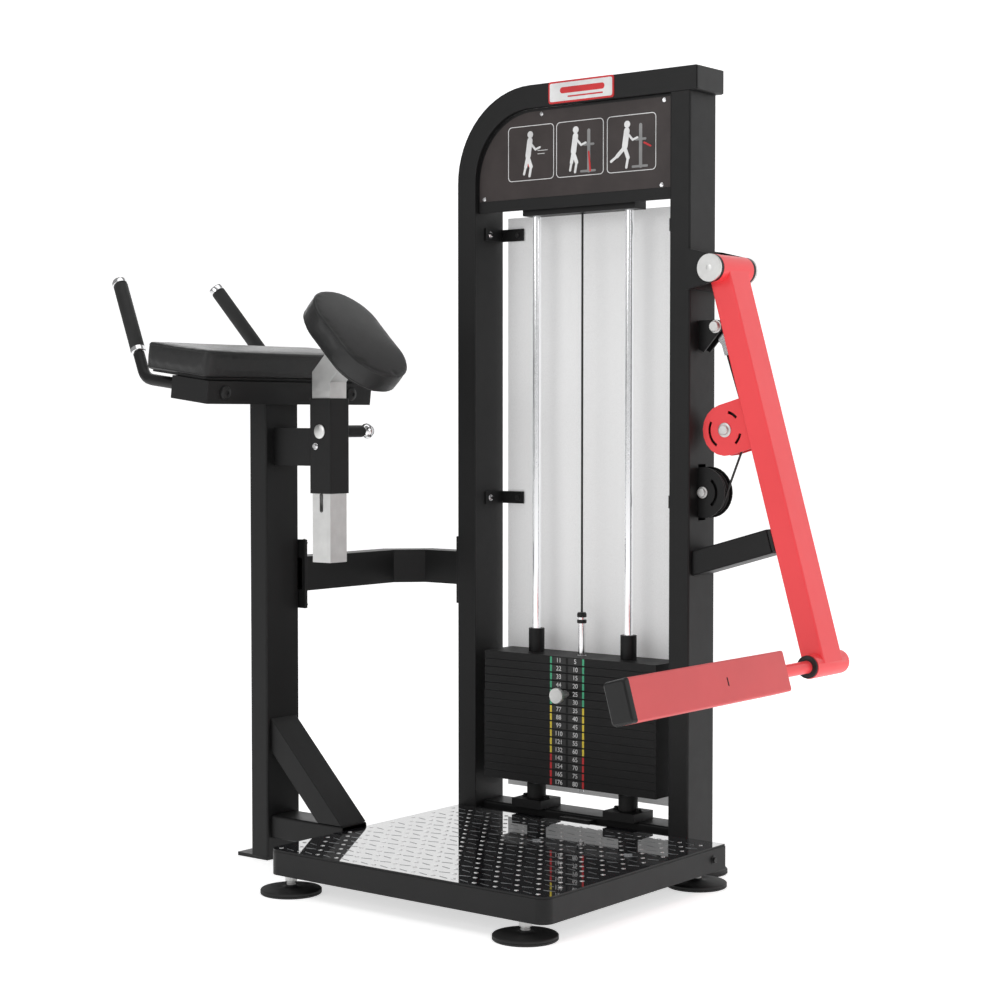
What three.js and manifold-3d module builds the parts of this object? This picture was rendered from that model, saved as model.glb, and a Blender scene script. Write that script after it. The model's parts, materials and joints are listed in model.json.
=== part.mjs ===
// Glute isolator (standing hip-extension machine) with a weight stack, in millimetres, +Z up.
// Driving frame: x = 0 is the outer face of the right upright, y = 0 the front face of the tower,
// z = 0 the floor. The exported group is moved so that its origin is the centre of its footprint.
import * as THREE from "three";
import { mergeVertices } from "three/addons/utils/BufferGeometryUtils.js";
import Module from "manifold-3d";

const wasm = await Module();
wasm.setup();

// ---------------------------------------------------------------- driving dimensions
const GAP = 0.3; // clearance between pieces that touch
const WALL = 3; // wall of the frame tubes

const UPRIGHT = { wide: 50, deep: 100, corner: 5 };
const TOWER = { width: 613, height: 1674, foot: 37.5, bend: 200, overhang: 15 };
const MID_Y = UPRIGHT.deep / 2;
const MID_X = -TOWER.width / 2;
const INNER_LEFT = -TOWER.width + UPRIGHT.wide;
const INNER_RIGHT = -UPRIGHT.wide;
const BEAM_UNDER = TOWER.height - UPRIGHT.wide;

const BASE_BEAM = { front: 25, back: 100, low: 49, top: 99 };
const ROD = { radius: 9, spread: 123, low: 100, top: 1412 };
const SEAT = { wide: 80, front: 12, back: 86, top: 117 };
const BUMPER = { radius: 21, top: 150 };
const PANEL = { low: 1407, front: 12, thick: 2 };
const HOLDER = { low: 1396, top: 1436, front: 28, back: 70 };
const SHROUD = { left: -549, low: 126, top: 1402, front: 100.3, thick: 2.5 };

const PLATE = { wide: 458, deep: 100, thick: 17.2, pitch: 17.65, low: 159.3, count: 16, lifted: 5 };
const STACK_TOP = PLATE.low + PLATE.count * PLATE.pitch;
const COLLAR = { radius: 17.5, top: STACK_TOP + 51 };
const STEM = { radius: 7.5, low: 143, fitting: 511, top: 533 };
const PIN = { radius: 4.5, knob: 17, reach: 64, hole: 18 };
const CABLE = 2.4; // radius

const PULLEY = { track: 45, rim: 49, hub: 16, thick: 22, bore: 6.4 };
const HEADER_PULLEY_Z = 1554;
const HEADER_CENTRE_X = MID_X + PULLEY.track;
const UPRIGHT_CABLE_X = -33;
const HEADER_RIGHT_X = UPRIGHT_CABLE_X - PULLEY.track;
const LOWER_PULLEY = { x: 12, z: 802 };
const COVER = { inner: 13.5, thick: 3, radius: 53 };

const PIVOT = { x: 60, z: 1259 };
const REST_ANGLE = THREE.MathUtils.degToRad(16);
const ARM = { wide: 50, deep: 75, length: 825, pivotRadius: 28.5, pivotHalf: 57, footRadius: 24 };
const ARM_PULLEY = { along: 316.7, out: 85.6 };
const EAR = { inner: 57.6, thick: 8, rootHalf: 41, endRadius: 28 };
const AXLE = { radius: 15, cap: 28.5, capThick: 6 };
const FOOT_PAD = { front: -664, back: -132, tall: 80, thick: 50, shaft: 12.5 };
const FOOT_TUBE = { front: -10, back: 112 };
const STOP = { along: 563, tall: 50, bumper: 9 };
const ANCHOR = { x: 41, z: 1143, inner: 10, thick: 4, tip: 14 };

const POST = { right: -815, front: -402, top: 991, plate: 8 };
const POST_MID_X = POST.right - UPRIGHT.wide / 2;
const POST_MID_Y = POST.front + UPRIGHT.deep / 2;
const CROSS = { low: 578, top: 653, wide: 50, right: -803, face: 50, chamfer: 51, plateHalf: 75, plate: 8 };
const LOW_BEAM = { low: 47, top: 97, wide: 77, right: -608 };
const BRACE = { top: 308, foot: -609, thick: 50 };
const SLEEVE = { size: 60, left: -706, low: 796, top: 997, linkLow: 854, linkTop: 934, link: 50 };
const SLEEVE_MID_X = SLEEVE.left + SLEEVE.size / 2;
const MAST = { size: 51, wall: 2.5, low: 650, bend: 1042, stub: 69 };
const CHEST = { long: 262, wide: 180, thick: 56, tilt: THREE.MathUtils.degToRad(45) };
const LOCK = { z: 927, barrel: 13, plunger: 6, ball: 17, barrelLength: 70 };
const TRAY = { left: -894, right: -785, half: 251, tall: 48, z: 991, wall: 3 };
const PAD_TILT = THREE.MathUtils.degToRad(7);
const REST_MID_X = -840;
const ELBOW_PAD = { left: -979, right: -792, half: 251, tall: 62 };
const HANDLE = { radius: 12.5, grip: 15.5, spread: 208, bend: -1022, gripStart: 0.33 };
const HANDLE_LEAN = { rise: 196, out: 178, inward: 63 };

const PLATFORM = { left: -607.5, right: 92.5, front: -611, back: -0.3, low: 37.5, top: 84.4 };
const RIM = { wide: 50, corner: 25 };
const TREAD = { thick: 4, over: 1 };
const FOOT = { radius: 62, thick: 11, stem: 7, inset: 25 };

// ---------------------------------------------------------------- materials
const finish = (color, roughness, metalness) =>
  new THREE.MeshStandardMaterial({ color, roughness, metalness });
const BLACK_STEEL = finish(0x202022, 0.5, 0.3);
const RED_STEEL = finish(0xf0424a, 0.38, 0.1);
const RED_PAD = finish(0xee4750, 0.55, 0);
const CHROME = finish(0xdcdcdc, 0.12, 1);
const CAST_BLACK = finish(0x171718, 0.6, 0.2);
const VINYL = finish(0x1b1b1d, 0.5, 0);
const RUBBER = finish(0x141414, 0.8, 0);
const PLASTIC = finish(0x18181a, 0.45, 0);
const SHEET_GREY = finish(0xd7d8d9, 0.6, 0);
const CABLE_BLACK = finish(0x0d0d0d, 0.5, 0);
const TREAD_BLACK = finish(0x24252a, 0.15, 0.5);

// ---------------------------------------------------------------- geometry helpers
function solid(geometry) {
  const bare = geometry.index ? geometry.toNonIndexed() : geometry;
  const clean = new THREE.BufferGeometry().setAttribute("position", bare.getAttribute("position"));
  const merged = mergeVertices(clean, 1e-4);
  return new wasm.Manifold(
    new wasm.Mesh({
      numProp: 3,
      vertProperties: merged.attributes.position.array,
      triVerts: new Uint32Array(merged.index.array),
    }),
  );
}

function geometryOf(manifold) {
  const mesh = manifold.getMesh();
  return new THREE.BufferGeometry()
    .setAttribute("position", new THREE.BufferAttribute(new Float32Array(mesh.vertProperties), 3))
    .setIndex(new THREE.BufferAttribute(new Uint32Array(mesh.triVerts), 1));
}

const cut = (body, ...tools) => tools.reduce((left, tool) => left.subtract(solid(tool)), solid(body));
const join = (first, ...rest) => rest.reduce((sum, next) => sum.add(solid(next)), solid(first));

function block(x0, x1, y0, y1, z0, z1) {
  const box = new THREE.BoxGeometry(x1 - x0, y1 - y0, z1 - z0);
  return box.translate((x0 + x1) / 2, (y0 + y1) / 2, (z0 + z1) / 2);
}

function outline(points) {
  return new THREE.Shape(points.map(([u, v]) => new THREE.Vector2(u, v)));
}

function roundRect(u0, u1, v0, v1, r) {
  const s = new THREE.Shape();
  s.moveTo(u0 + r, v0);
  s.lineTo(u1 - r, v0);
  s.absarc(u1 - r, v0 + r, r, -Math.PI / 2, 0);
  s.lineTo(u1, v1 - r);
  s.absarc(u1 - r, v1 - r, r, 0, Math.PI / 2);
  s.lineTo(u0 + r, v1);
  s.absarc(u0 + r, v1 - r, r, Math.PI / 2, Math.PI);
  s.lineTo(u0, v0 + r);
  s.absarc(u0 + r, v0 + r, r, Math.PI, 1.5 * Math.PI);
  return s;
}

const extrude = (shape, depth, curveSegments = 3) =>
  new THREE.ExtrudeGeometry(shape, { depth, bevelEnabled: false, curveSegments });

// A shape in (x, y) pushed up from z0 to z1.
const raise = (shape, z0, z1, seg) => extrude(shape, z1 - z0, seg).translate(0, 0, z0);

// A shape in (x, z) pushed back from y0 to y1.
const pushBack = (shape, y0, y1, seg) =>
  extrude(shape, y1 - y0, seg).rotateX(Math.PI / 2).translate(0, y1, 0);

// A shape in (y, z) pushed right from x0 to x1.
const pushRight = (shape, x0, x1, seg) =>
  extrude(shape, x1 - x0, seg).rotateX(Math.PI / 2).rotateZ(Math.PI / 2).translate(x0, 0, 0);

const rodY = (r, y0, y1, x, z, seg = 24) =>
  new THREE.CylinderGeometry(r, r, y1 - y0, seg).translate(x, (y0 + y1) / 2, z);
const rodZ = (r, z0, z1, x, y, seg = 24) =>
  new THREE.CylinderGeometry(r, r, z1 - z0, seg).rotateX(Math.PI / 2).translate(x, y, (z0 + z1) / 2);

// An upright rectangular tube, open at both ends.
function tubeZ(x0, x1, y0, y1, z0, z1, wall = WALL, corner = UPRIGHT.corner) {
  const shape = roundRect(x0, x1, y0, y1, corner);
  shape.holes.push(roundRect(x0 + wall, x1 - wall, y0 + wall, y1 - wall, Math.max(corner - wall, 0.5)));
  return raise(shape, z0, z1, 2);
}

function tubeX(x0, x1, y0, y1, z0, z1, wall = WALL) {
  const shape = roundRect(y0, y1, z0, z1, UPRIGHT.corner);
  shape.holes.push(roundRect(y0 + wall, y1 - wall, z0 + wall, z1 - wall, UPRIGHT.corner - wall));
  return pushRight(shape, x0, x1, 2);
}

const disc = (r, seg) => {
  const points = [];
  for (let i = 0; i < seg; i++) {
    const a = (2 * Math.PI * i) / seg;
    points.push([r * Math.cos(a), r * Math.sin(a)]);
  }
  return outline(points);
};

// Points of a polyline whose corners are rounded by arcs of the given radius.
function roundedRoute(corners, radius, perArc) {
  const v = corners.map((p) => p.clone());
  const route = new THREE.CurvePath();
  let from = v[0];
  for (let i = 1; i < v.length - 1; i++) {
    const back = v[i - 1].clone().sub(v[i]).normalize();
    const on = v[i + 1].clone().sub(v[i]).normalize();
    const half = back.angleTo(on) / 2;
    const leg = radius / Math.tan(half);
    const a = v[i].clone().addScaledVector(back, leg);
    const b = v[i].clone().addScaledVector(on, leg);
    route.add(new THREE.LineCurve3(from, a));
    const centre = v[i].clone().addScaledVector(back.clone().add(on).normalize(), radius / Math.sin(half));
    const u = a.clone().sub(centre);
    const w = b.clone().sub(centre);
    const turn = u.angleTo(w);
    let last = a;
    for (let k = 1; k <= perArc; k++) {
      const t = (turn * k) / perArc;
      const side = w.clone().addScaledVector(u, -Math.cos(turn)).divideScalar(Math.sin(turn));
      const p = centre.clone().addScaledVector(u, Math.cos(t)).addScaledVector(side, Math.sin(t));
      route.add(new THREE.LineCurve3(last, p));
      last = p;
    }
    from = b;
  }
  route.add(new THREE.LineCurve3(from, v[v.length - 1]));
  return route;
}

// A round bar of n sides that follows a route made of straight pieces, mitred at each bend.
function barAlong(route, radius, sides) {
  const points = [route.curves[0].v1, ...route.curves.map((c) => c.v2)];
  const first = points[1].clone().sub(points[0]).normalize();
  let normal = new THREE.Vector3(0, 1, 0);
  if (Math.abs(normal.dot(first)) > 0.9) normal = new THREE.Vector3(1, 0, 0);
  normal.addScaledVector(first, -normal.dot(first)).normalize();
  const rings = [];
  points.forEach((p, i) => {
    const into = (i ? p.clone().sub(points[i - 1]) : points[1].clone().sub(p)).normalize();
    const last = i === points.length - 1;
    const out = last ? p.clone().sub(points[i - 1]) : points[i + 1].clone().sub(p);
    out.normalize();
    const tangent = into.clone().add(out).normalize();
    normal.addScaledVector(tangent, -normal.dot(tangent)).normalize();
    const binormal = tangent.clone().cross(normal);
    rings.push(
      Array.from({ length: sides }, (_, k) => {
        const a = (2 * Math.PI * k) / sides;
        const spot = p.clone().addScaledVector(normal, radius * Math.cos(a));
        return spot.addScaledVector(binormal, radius * Math.sin(a));
      }),
    );
  });
  const position = rings.flat().flatMap((p) => [p.x, p.y, p.z]);
  const index = [];
  for (let i = 0; i < rings.length - 1; i++)
    for (let k = 0; k < sides; k++) {
      const a = i * sides + k;
      const b = i * sides + ((k + 1) % sides);
      index.push(a, b, b + sides, a, b + sides, a + sides);
    }
  const end = (rings.length - 1) * sides;
  for (let k = 1; k < sides - 1; k++) {
    index.push(0, k + 1, k);
    index.push(end, end + k, end + k + 1);
  }
  return new THREE.BufferGeometry()
    .setAttribute("position", new THREE.BufferAttribute(new Float32Array(position), 3))
    .setIndex(index);
}

const root = new THREE.Group();

function part(name, shape, material, parent = root) {
  const geometry = shape.isBufferGeometry ? shape : geometryOf(shape);
  const mesh = new THREE.Mesh(geometry, material);
  mesh.name = name;
  parent.add(mesh);
  return mesh;
}

// ---------------------------------------------------------------- tower
// Left upright and top beam are one tube, bent at the top left corner.
function bentTube() {
  const path = (inset) => {
    const s = new THREE.Shape();
    const left = -TOWER.width + inset;
    const top = TOWER.height - inset;
    const right = TOWER.overhang;
    const bend = TOWER.bend - inset;
    const under = UPRIGHT.wide - 2 * inset;
    s.moveTo(left, TOWER.foot);
    s.lineTo(left + under, TOWER.foot);
    s.lineTo(left + under, top - bend);
    s.absarc(left + bend, top - bend, bend - under, Math.PI, Math.PI / 2, true);
    s.lineTo(right, top - under);
    s.lineTo(right, top);
    s.lineTo(left + bend, top);
    s.absarc(left + bend, top - bend, bend, Math.PI / 2, Math.PI);
    return s;
  };
  const body = pushBack(path(0), 0, UPRIGHT.deep, 8);
  const bore = pushBack(path(WALL), WALL, UPRIGHT.deep - WALL, 8);
  return part("tower_bent_tube", cut(body, bore), BLACK_STEEL);
}

// The right upright carries the cable inside, so it has a slot for each pulley that dips into it.
function rightUpright() {
  const slot = { y0: MID_Y - 13.5, y1: MID_Y + 13.5 };
  return part(
    "tower_right_upright",
    cut(
      tubeZ(INNER_RIGHT, 0, 0, UPRIGHT.deep, TOWER.foot, BEAM_UNDER - GAP),
      block(-10, 5, slot.y0, slot.y1, LOWER_PULLEY.z - 58, LOWER_PULLEY.z + 58),
      block(-60, -40, slot.y0, slot.y1, HEADER_PULLEY_Z - 56, HEADER_PULLEY_Z + 62),
    ),
    BLACK_STEEL,
  );
}

function beamEndCap() {
  const x = TOWER.overhang;
  return part(
    "beam_end_cap",
    join(
      block(x + GAP, x + 2.8, 1, UPRIGHT.deep - 1, BEAM_UNDER + 1, TOWER.height - 1),
      block(x - 12, x + 1, WALL + 1, UPRIGHT.deep - WALL - 1, BEAM_UNDER + WALL + 1, TOWER.height - WALL - 1),
    ),
    PLASTIC,
  );
}

// Base beam between the uprights, with the two seats that hold the guide rods.
function baseBeam() {
  const y = BASE_BEAM;
  const left = INNER_LEFT + GAP;
  const right = INNER_RIGHT - GAP;
  const seats = [-1, 1].map((side) => {
    const x = MID_X + side * ROD.spread;
    return block(x - SEAT.wide / 2, x + SEAT.wide / 2, SEAT.front, SEAT.back, y.top - 0.5, SEAT.top);
  });
  const link = block(-330, -250, 0.4, y.front + 1, y.top - 42, y.top - 6);
  const holes = [-1, 1].map((side) =>
    rodZ(ROD.radius + 0.6, ROD.low - GAP, SEAT.top + 1, MID_X + side * ROD.spread, MID_Y, 14),
  );
  let body = join(tubeX(left, right, y.front, y.back, y.low, y.top), ...seats, link);
  for (const hole of holes) body = body.subtract(solid(hole));
  return part("base_beam", body, BLACK_STEEL);
}

function headerPanel() {
  const left = INNER_LEFT + GAP;
  const right = INNER_RIGHT - GAP;
  const top = BEAM_UNDER - GAP;
  const bend = TOWER.bend - UPRIGHT.wide;
  const s = new THREE.Shape();
  s.moveTo(left, PANEL.low);
  s.lineTo(right, PANEL.low);
  s.lineTo(right, top);
  s.lineTo(left + bend, top);
  s.absarc(left + bend, top - bend, bend, Math.PI / 2, Math.PI);
  return part("header_panel", pushBack(s, PANEL.front, PANEL.front + PANEL.thick, 8), BLACK_STEEL);
}

// Cross bar behind the header panel that holds the upper ends of the guide rods.
function rodHolder() {
  const { front, back, low, top } = HOLDER;
  const body = block(INNER_LEFT + GAP, INNER_RIGHT - GAP, front, back, low + 20, top);
  const lip = block(-452, -155, HOLDER.front, HOLDER.back, HOLDER.low, HOLDER.low + 21);
  const bore = block(-580, -30, HOLDER.front + WALL, HOLDER.back - WALL, HOLDER.low + 23, HOLDER.top - WALL);
  const holes = [-1, 1].map((side) =>
    rodZ(ROD.radius + 0.6, HOLDER.low - 1, ROD.top + GAP, MID_X + side * ROD.spread, MID_Y, 14),
  );
  const passage = rodZ(8, HOLDER.low - 1, HOLDER.top + 1, MID_X, MID_Y, 10);
  let bar = join(body, lip).subtract(solid(bore));
  for (const tool of [...holes, passage]) bar = bar.subtract(solid(tool));
  return part("rod_holder", bar, BLACK_STEEL);
}

function rearShroud() {
  const right = -TOWER.width - SHROUD.left;
  return part(
    "rear_shroud",
    block(SHROUD.left, right, SHROUD.front, SHROUD.front + SHROUD.thick, SHROUD.low, SHROUD.top),
    SHEET_GREY,
  );
}

function guideRod(name, side) {
  const x = MID_X + side * ROD.spread;
  return part(`guide_rod_${name}`, rodZ(ROD.radius, ROD.low, ROD.top, x, MID_Y, 16), CHROME);
}

function bumper(name, side) {
  const ring = disc(BUMPER.radius, 18);
  ring.holes.push(disc(ROD.radius + 1, 14));
  const geometry = raise(ring, SEAT.top + GAP, BUMPER.top);
  return part(`bumper_${name}`, geometry.translate(MID_X + side * ROD.spread, MID_Y, 0), RUBBER);
}

// ---------------------------------------------------------------- weight stack
function plateShape() {
  const halfW = PLATE.wide / 2;
  const halfD = PLATE.deep / 2;
  const shape = roundRect(MID_X - halfW, MID_X + halfW, MID_Y - halfD - 2, MID_Y + halfD - 2, 3);
  for (const side of [-1, 1]) {
    shape.holes.push(shift(disc(ROD.radius + 2, 12), MID_X + side * ROD.spread, MID_Y));
  }
  shape.holes.push(shift(disc(12.5, 12), MID_X, MID_Y));
  return shape;
}

function shift(shape, dx, dy) {
  return new THREE.Shape(shape.getPoints().map((p) => new THREE.Vector2(p.x + dx, p.y + dy)));
}

const plateLow = (fromTop) => PLATE.low + (PLATE.count - fromTop) * PLATE.pitch;
const pinHoleZ = (fromTop) => plateLow(fromTop) + PLATE.thick / 2;

function weightPlate(fromTop, parent) {
  const low = plateLow(fromTop);
  const body = raise(plateShape(), low, low + PLATE.thick, 1);
  const hole = rodY(PIN.radius + 1, -10, MID_Y + PIN.hole, MID_X, pinHoleZ(fromTop), 10);
  return part(`weight_plate_${String(fromTop).padStart(2, "0")}`, cut(body, hole), CAST_BLACK, parent);
}

// The top plate carries the two guide collars.
function headPlate(parent) {
  const low = plateLow(1);
  let body = solid(raise(plateShape(), low, low + PLATE.thick, 1));
  for (const side of [-1, 1]) {
    const x = MID_X + side * ROD.spread;
    body = body.add(solid(rodZ(COLLAR.radius, low + PLATE.thick - 1, COLLAR.top, x, MID_Y, 18)));
    body = body.subtract(solid(rodZ(ROD.radius + 1, low - 1, COLLAR.top + 1, x, MID_Y, 14)));
  }
  body = body.subtract(solid(rodY(PIN.radius + 1, -10, MID_Y + PIN.hole, MID_X, pinHoleZ(1), 10)));
  return part("head_plate", body, CAST_BLACK, parent);
}

// The plates that stay down: one block with a groove along each joint between two plates.
function restingPlates() {
  const first = PLATE.lifted + 1;
  const seam = PLATE.pitch - PLATE.thick;
  const front = MID_Y - PLATE.deep / 2 - 2;
  const back = front + PLATE.deep;
  const top = plateLow(first) + PLATE.thick;
  const groove = 1.6;
  const right = [];
  const left = [];
  for (let n = PLATE.count; n > first; n--) {
    const z = plateLow(n) + PLATE.thick;
    right.push([back, z], [back - groove, z], [back - groove, z + seam], [back, z + seam]);
    left.unshift([front, z + seam], [front + groove, z + seam], [front + groove, z], [front, z]);
  }
  const comb = outline([[front, PLATE.low], [back, PLATE.low], ...right, [back, top], [front, top], ...left]);
  let body = solid(pushRight(comb, MID_X - PLATE.wide / 2, MID_X + PLATE.wide / 2));
  for (const side of [-1, 0, 1]) {
    const r = side ? ROD.radius + 2 : 12.5;
    body = body.subtract(solid(rodZ(r, PLATE.low - 1, top + 1, MID_X + side * ROD.spread, MID_Y, 12)));
  }
  return part("resting_plates", body, CAST_BLACK);
}

// Selector stem: drilled rod through the stack, with the cable fitting on top.
function selectorStem(parent) {
  const low = STEM.low + 8;
  let body = join(
    rodZ(10.5, low, plateLow(1) + PLATE.thick, MID_X, MID_Y, 16),
    rodZ(STEM.radius, low + 20, STEM.fitting + 1, MID_X, MID_Y, 16),
    rodZ(9, STEM.fitting, STEM.top, MID_X, MID_Y, 16),
    rodZ(7, STEM.low, low + 1, MID_X, MID_Y, 12),
  );
  for (let n = 1; n <= PLATE.lifted; n++)
    body = body.subtract(solid(rodY(PIN.radius + 0.6, MID_Y - 20, MID_Y + 20, MID_X, pinHoleZ(n), 8)));
  return part("selector_stem", body, CHROME, parent);
}

function selectorPin(parent) {
  const z = pinHoleZ(PLATE.lifted);
  const face = MID_Y - PLATE.deep / 2 - 2;
  return part(
    "selector_pin",
    join(
      rodY(PIN.radius, face - 30, face + PIN.reach, MID_X, z, 12),
      rodY(8, face - 36, face - 10, MID_X, z, 16),
      rodY(PIN.knob, face - 44, face - 34, MID_X, z, 24),
    ),
    CHROME,
    parent,
  );
}

// ---------------------------------------------------------------- cable and pulleys
function pulleyGeometry(x, z) {
  const half = PULLEY.thick / 2;
  const groove = PULLEY.track - CABLE * 1.55;
  const web = PULLEY.track - 8;
  const profile = [
    [PULLEY.bore, -half],
    [PULLEY.hub, -half],
    [web, -half + 4],
    [PULLEY.rim, -half + 1],
    [PULLEY.rim, -half + 4],
    [groove, 0],
    [PULLEY.rim, half - 4],
    [PULLEY.rim, half - 1],
    [web, half - 4],
    [PULLEY.hub, half],
    [PULLEY.bore, half],
    [PULLEY.bore, -half],
  ];
  return new THREE.LatheGeometry(
    profile.map(([r, h]) => new THREE.Vector2(r, h)),
    20,
  ).translate(x, MID_Y, z);
}

const pulley = (name, x, z) => part(name, pulleyGeometry(x, z), PLASTIC);

// Two hanging pulleys share this channel under the top beam; its cross pins are their axles.
function pulleyCarrier() {
  const top = BEAM_UNDER - GAP;
  const x0 = HEADER_CENTRE_X - 30;
  const x1 = INNER_RIGHT - 0.6;
  const low = HEADER_PULLEY_Z - 22;
  const inner = 14;
  const side = (y0, y1) => {
    const s = outline([
      [x0, low],
      [HEADER_CENTRE_X + 30, low],
      [HEADER_CENTRE_X + 60, top - 22],
      [HEADER_RIGHT_X - 55, top - 22],
      [HEADER_RIGHT_X - 25, low],
      [x1, low],
      [x1, top],
      [x0, top],
    ]);
    return pushBack(s, y0, y1);
  };
  const pins = [HEADER_CENTRE_X, HEADER_RIGHT_X].map((x) =>
    rodY(PULLEY.bore - 0.4, MID_Y - inner - 8, MID_Y + inner + 8, x, HEADER_PULLEY_Z, 16),
  );
  return part(
    "pulley_carrier",
    join(
      block(x0, x1, MID_Y - inner - 3, MID_Y + inner + 3, top - 4, top),
      side(MID_Y - inner - 3, MID_Y - inner),
      side(MID_Y + inner, MID_Y + inner + 3),
      ...pins,
    ),
    BLACK_STEEL,
  );
}

// Cover discs either side of the lower pulley, joined by its axle and cut off at the upright.
function lowerPulleyHousing() {
  const { x, z } = LOWER_PULLEY;
  const near = MID_Y - COVER.inner - COVER.thick;
  const far = MID_Y + COVER.inner;
  const slots = [near, far].map((y) => {
    const arc = new THREE.Shape();
    arc.absarc(x, z, 36, -0.9, 0.9);
    arc.absarc(x, z, 30, 0.9, -0.9, true);
    return pushBack(arc, y - 1, y + COVER.thick + 1, 6);
  });
  let body = join(
    rodY(COVER.radius, near, near + COVER.thick, x, z, 28),
    rodY(COVER.radius, far, far + COVER.thick, x, z, 28),
    rodY(PULLEY.bore - 0.4, near - 1, far + COVER.thick + 1, x, z, 16),
    rodY(8, near - 6, near + 1, x, z, 6),
    rodY(8, far + COVER.thick - 1, far + COVER.thick + 6, x, z, 6),
  );
  for (const slot of slots) body = body.subtract(solid(slot));
  const keep = solid(block(GAP, 200, -50, 200, z - 100, z + 100));
  return part("lower_pulley_housing", body.intersect(keep), BLACK_STEEL);
}

// Vertical cable from the stem to the first header pulley.
function stackCable() {
  return part("stack_cable", rodZ(CABLE, STEM.top + GAP, HEADER_PULLEY_Z - 1, MID_X, MID_Y, 8), CABLE_BLACK);
}

// Fixed length of cable over the header pulleys, down inside the upright and round the lower pulley.
function headerCable() {
  const r = PULLEY.track;
  const points = [];
  const arc = (cx, cz, from, to, n) => {
    for (let i = 0; i <= n; i++) {
      const a = from + ((to - from) * i) / n;
      points.push(new THREE.Vector3(cx + r * Math.cos(a), MID_Y, cz + r * Math.sin(a)));
    }
  };
  points.push(new THREE.Vector3(MID_X, MID_Y, HEADER_PULLEY_Z - 0.5));
  arc(HEADER_CENTRE_X, HEADER_PULLEY_Z, Math.PI * 0.95, Math.PI / 2, 7);
  arc(HEADER_RIGHT_X, HEADER_PULLEY_Z, Math.PI / 2, 0, 8);
  arc(LOWER_PULLEY.x, LOWER_PULLEY.z, Math.PI, 2 * Math.PI - lowerTangent() - 0.02, 14);
  const route = new THREE.CurvePath();
  for (let i = 1; i < points.length; i++) route.add(new THREE.LineCurve3(points[i - 1], points[i]));
  return part("header_cable", barAlong(route, CABLE, 6), CABLE_BLACK);
}

const armPulleyCentre = () => {
  const s = Math.sin(REST_ANGLE);
  const c = Math.cos(REST_ANGLE);
  return {
    x: PIVOT.x + ARM_PULLEY.along * s - ARM_PULLEY.out * c,
    z: PIVOT.z - ARM_PULLEY.along * c - ARM_PULLEY.out * s,
  };
};

// Angle below the horizontal of the point where the lower run leaves each of its two equal pulleys.
function lowerTangent() {
  const c = armPulleyCentre();
  return Math.atan2(c.x - LOWER_PULLEY.x, c.z - LOWER_PULLEY.z);
}

// The upper run leaves the anchor and meets the arm pulley on its far side.
function upperRun() {
  const c = armPulleyCentre();
  const dx = c.x - ANCHOR.x;
  const dz = c.z - ANCHOR.z;
  const far = Math.hypot(dx, dz);
  const turn = Math.asin(PULLEY.track / far);
  const angle = Math.atan2(dx, -dz) + turn;
  const length = Math.sqrt(far * far - PULLEY.track ** 2);
  return { length, sin: Math.sin(angle), cos: Math.cos(angle), angle };
}

function straightCable(name, from, to) {
  const route = new THREE.CurvePath();
  const start = new THREE.Vector3(from[0], MID_Y, from[1]);
  const end = new THREE.Vector3(to[0], MID_Y, to[1]);
  route.add(new THREE.LineCurve3(start, end));
  return part(name, barAlong(route, CABLE, 6), CABLE_BLACK);
}

function armCable() {
  const up = upperRun();
  const at = (d) => [ANCHOR.x + up.sin * d, ANCHOR.z - up.cos * d];
  straightCable("arm_cable_upper", at(62.3), at(up.length));
  const t = lowerTangent();
  const c = armPulleyCentre();
  const r = PULLEY.track;
  const low = [LOWER_PULLEY.x + r * Math.cos(t), LOWER_PULLEY.z - r * Math.sin(t)];
  const high = [c.x + r * Math.cos(t), c.z - r * Math.sin(t)];
  const mix = (f) => [low[0] + (high[0] - low[0]) * f, low[1] + (high[1] - low[1]) * f];
  straightCable("arm_cable_lower_near", mix(0.004), mix(0.498));
  straightCable("arm_cable_lower_far", mix(0.502), mix(0.99));
}

// Swaged eye that hangs on the anchor bolt and holds the end of the cable.
function cableEndFitting() {
  const up = upperRun();
  const eye = outline([
    [-9, 9],
    [9, 9],
    [9, -30],
    [5, -38],
    [5, -62],
    [-5, -62],
    [-5, -38],
    [-9, -30],
  ]);
  const body = cut(pushBack(eye, -3.5, 3.5), rodY(6.6, -10, 10, 0, 0, 14));
  const mesh = part("cable_end_fitting", body, CHROME);
  mesh.position.set(ANCHOR.x, MID_Y, ANCHOR.z);
  mesh.rotation.y = -up.angle;
  return mesh;
}

// Clevis on the side of the upright, with the bolt that holds the cable's end.
function cableAnchor() {
  const { x, z, tip } = ANCHOR;
  const cheek = () => {
    const s = new THREE.Shape();
    s.moveTo(GAP, z + 13);
    s.lineTo(x, z + tip);
    s.absarc(x, z, tip, Math.PI / 2, -Math.PI / 3, true);
    s.lineTo(12, z - 52);
    s.lineTo(GAP, z - 46);
    return s;
  };
  const near = MID_Y - ANCHOR.inner - ANCHOR.thick;
  const far = MID_Y + ANCHOR.inner;
  return part(
    "cable_anchor",
    join(
      pushBack(cheek(), near, near + ANCHOR.thick, 8),
      pushBack(cheek(), far, far + ANCHOR.thick, 8),
      rodY(6, near - 3, far + ANCHOR.thick + 3, x, z, 16),
      rodY(10, near - 7, near + 0.5, x, z, 6),
      rodY(10, far + ANCHOR.thick - 0.5, far + ANCHOR.thick + 7, x, z, 6),
    ),
    BLACK_STEEL,
  );
}

// ---------------------------------------------------------------- swing arm
// The arm group hangs from the pivot: x is out from the arm's face, z runs down the arm.
const armGroup = new THREE.Group();
armGroup.position.set(PIVOT.x, MID_Y, PIVOT.z);
armGroup.rotation.y = -REST_ANGLE;
root.add(armGroup);

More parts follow.
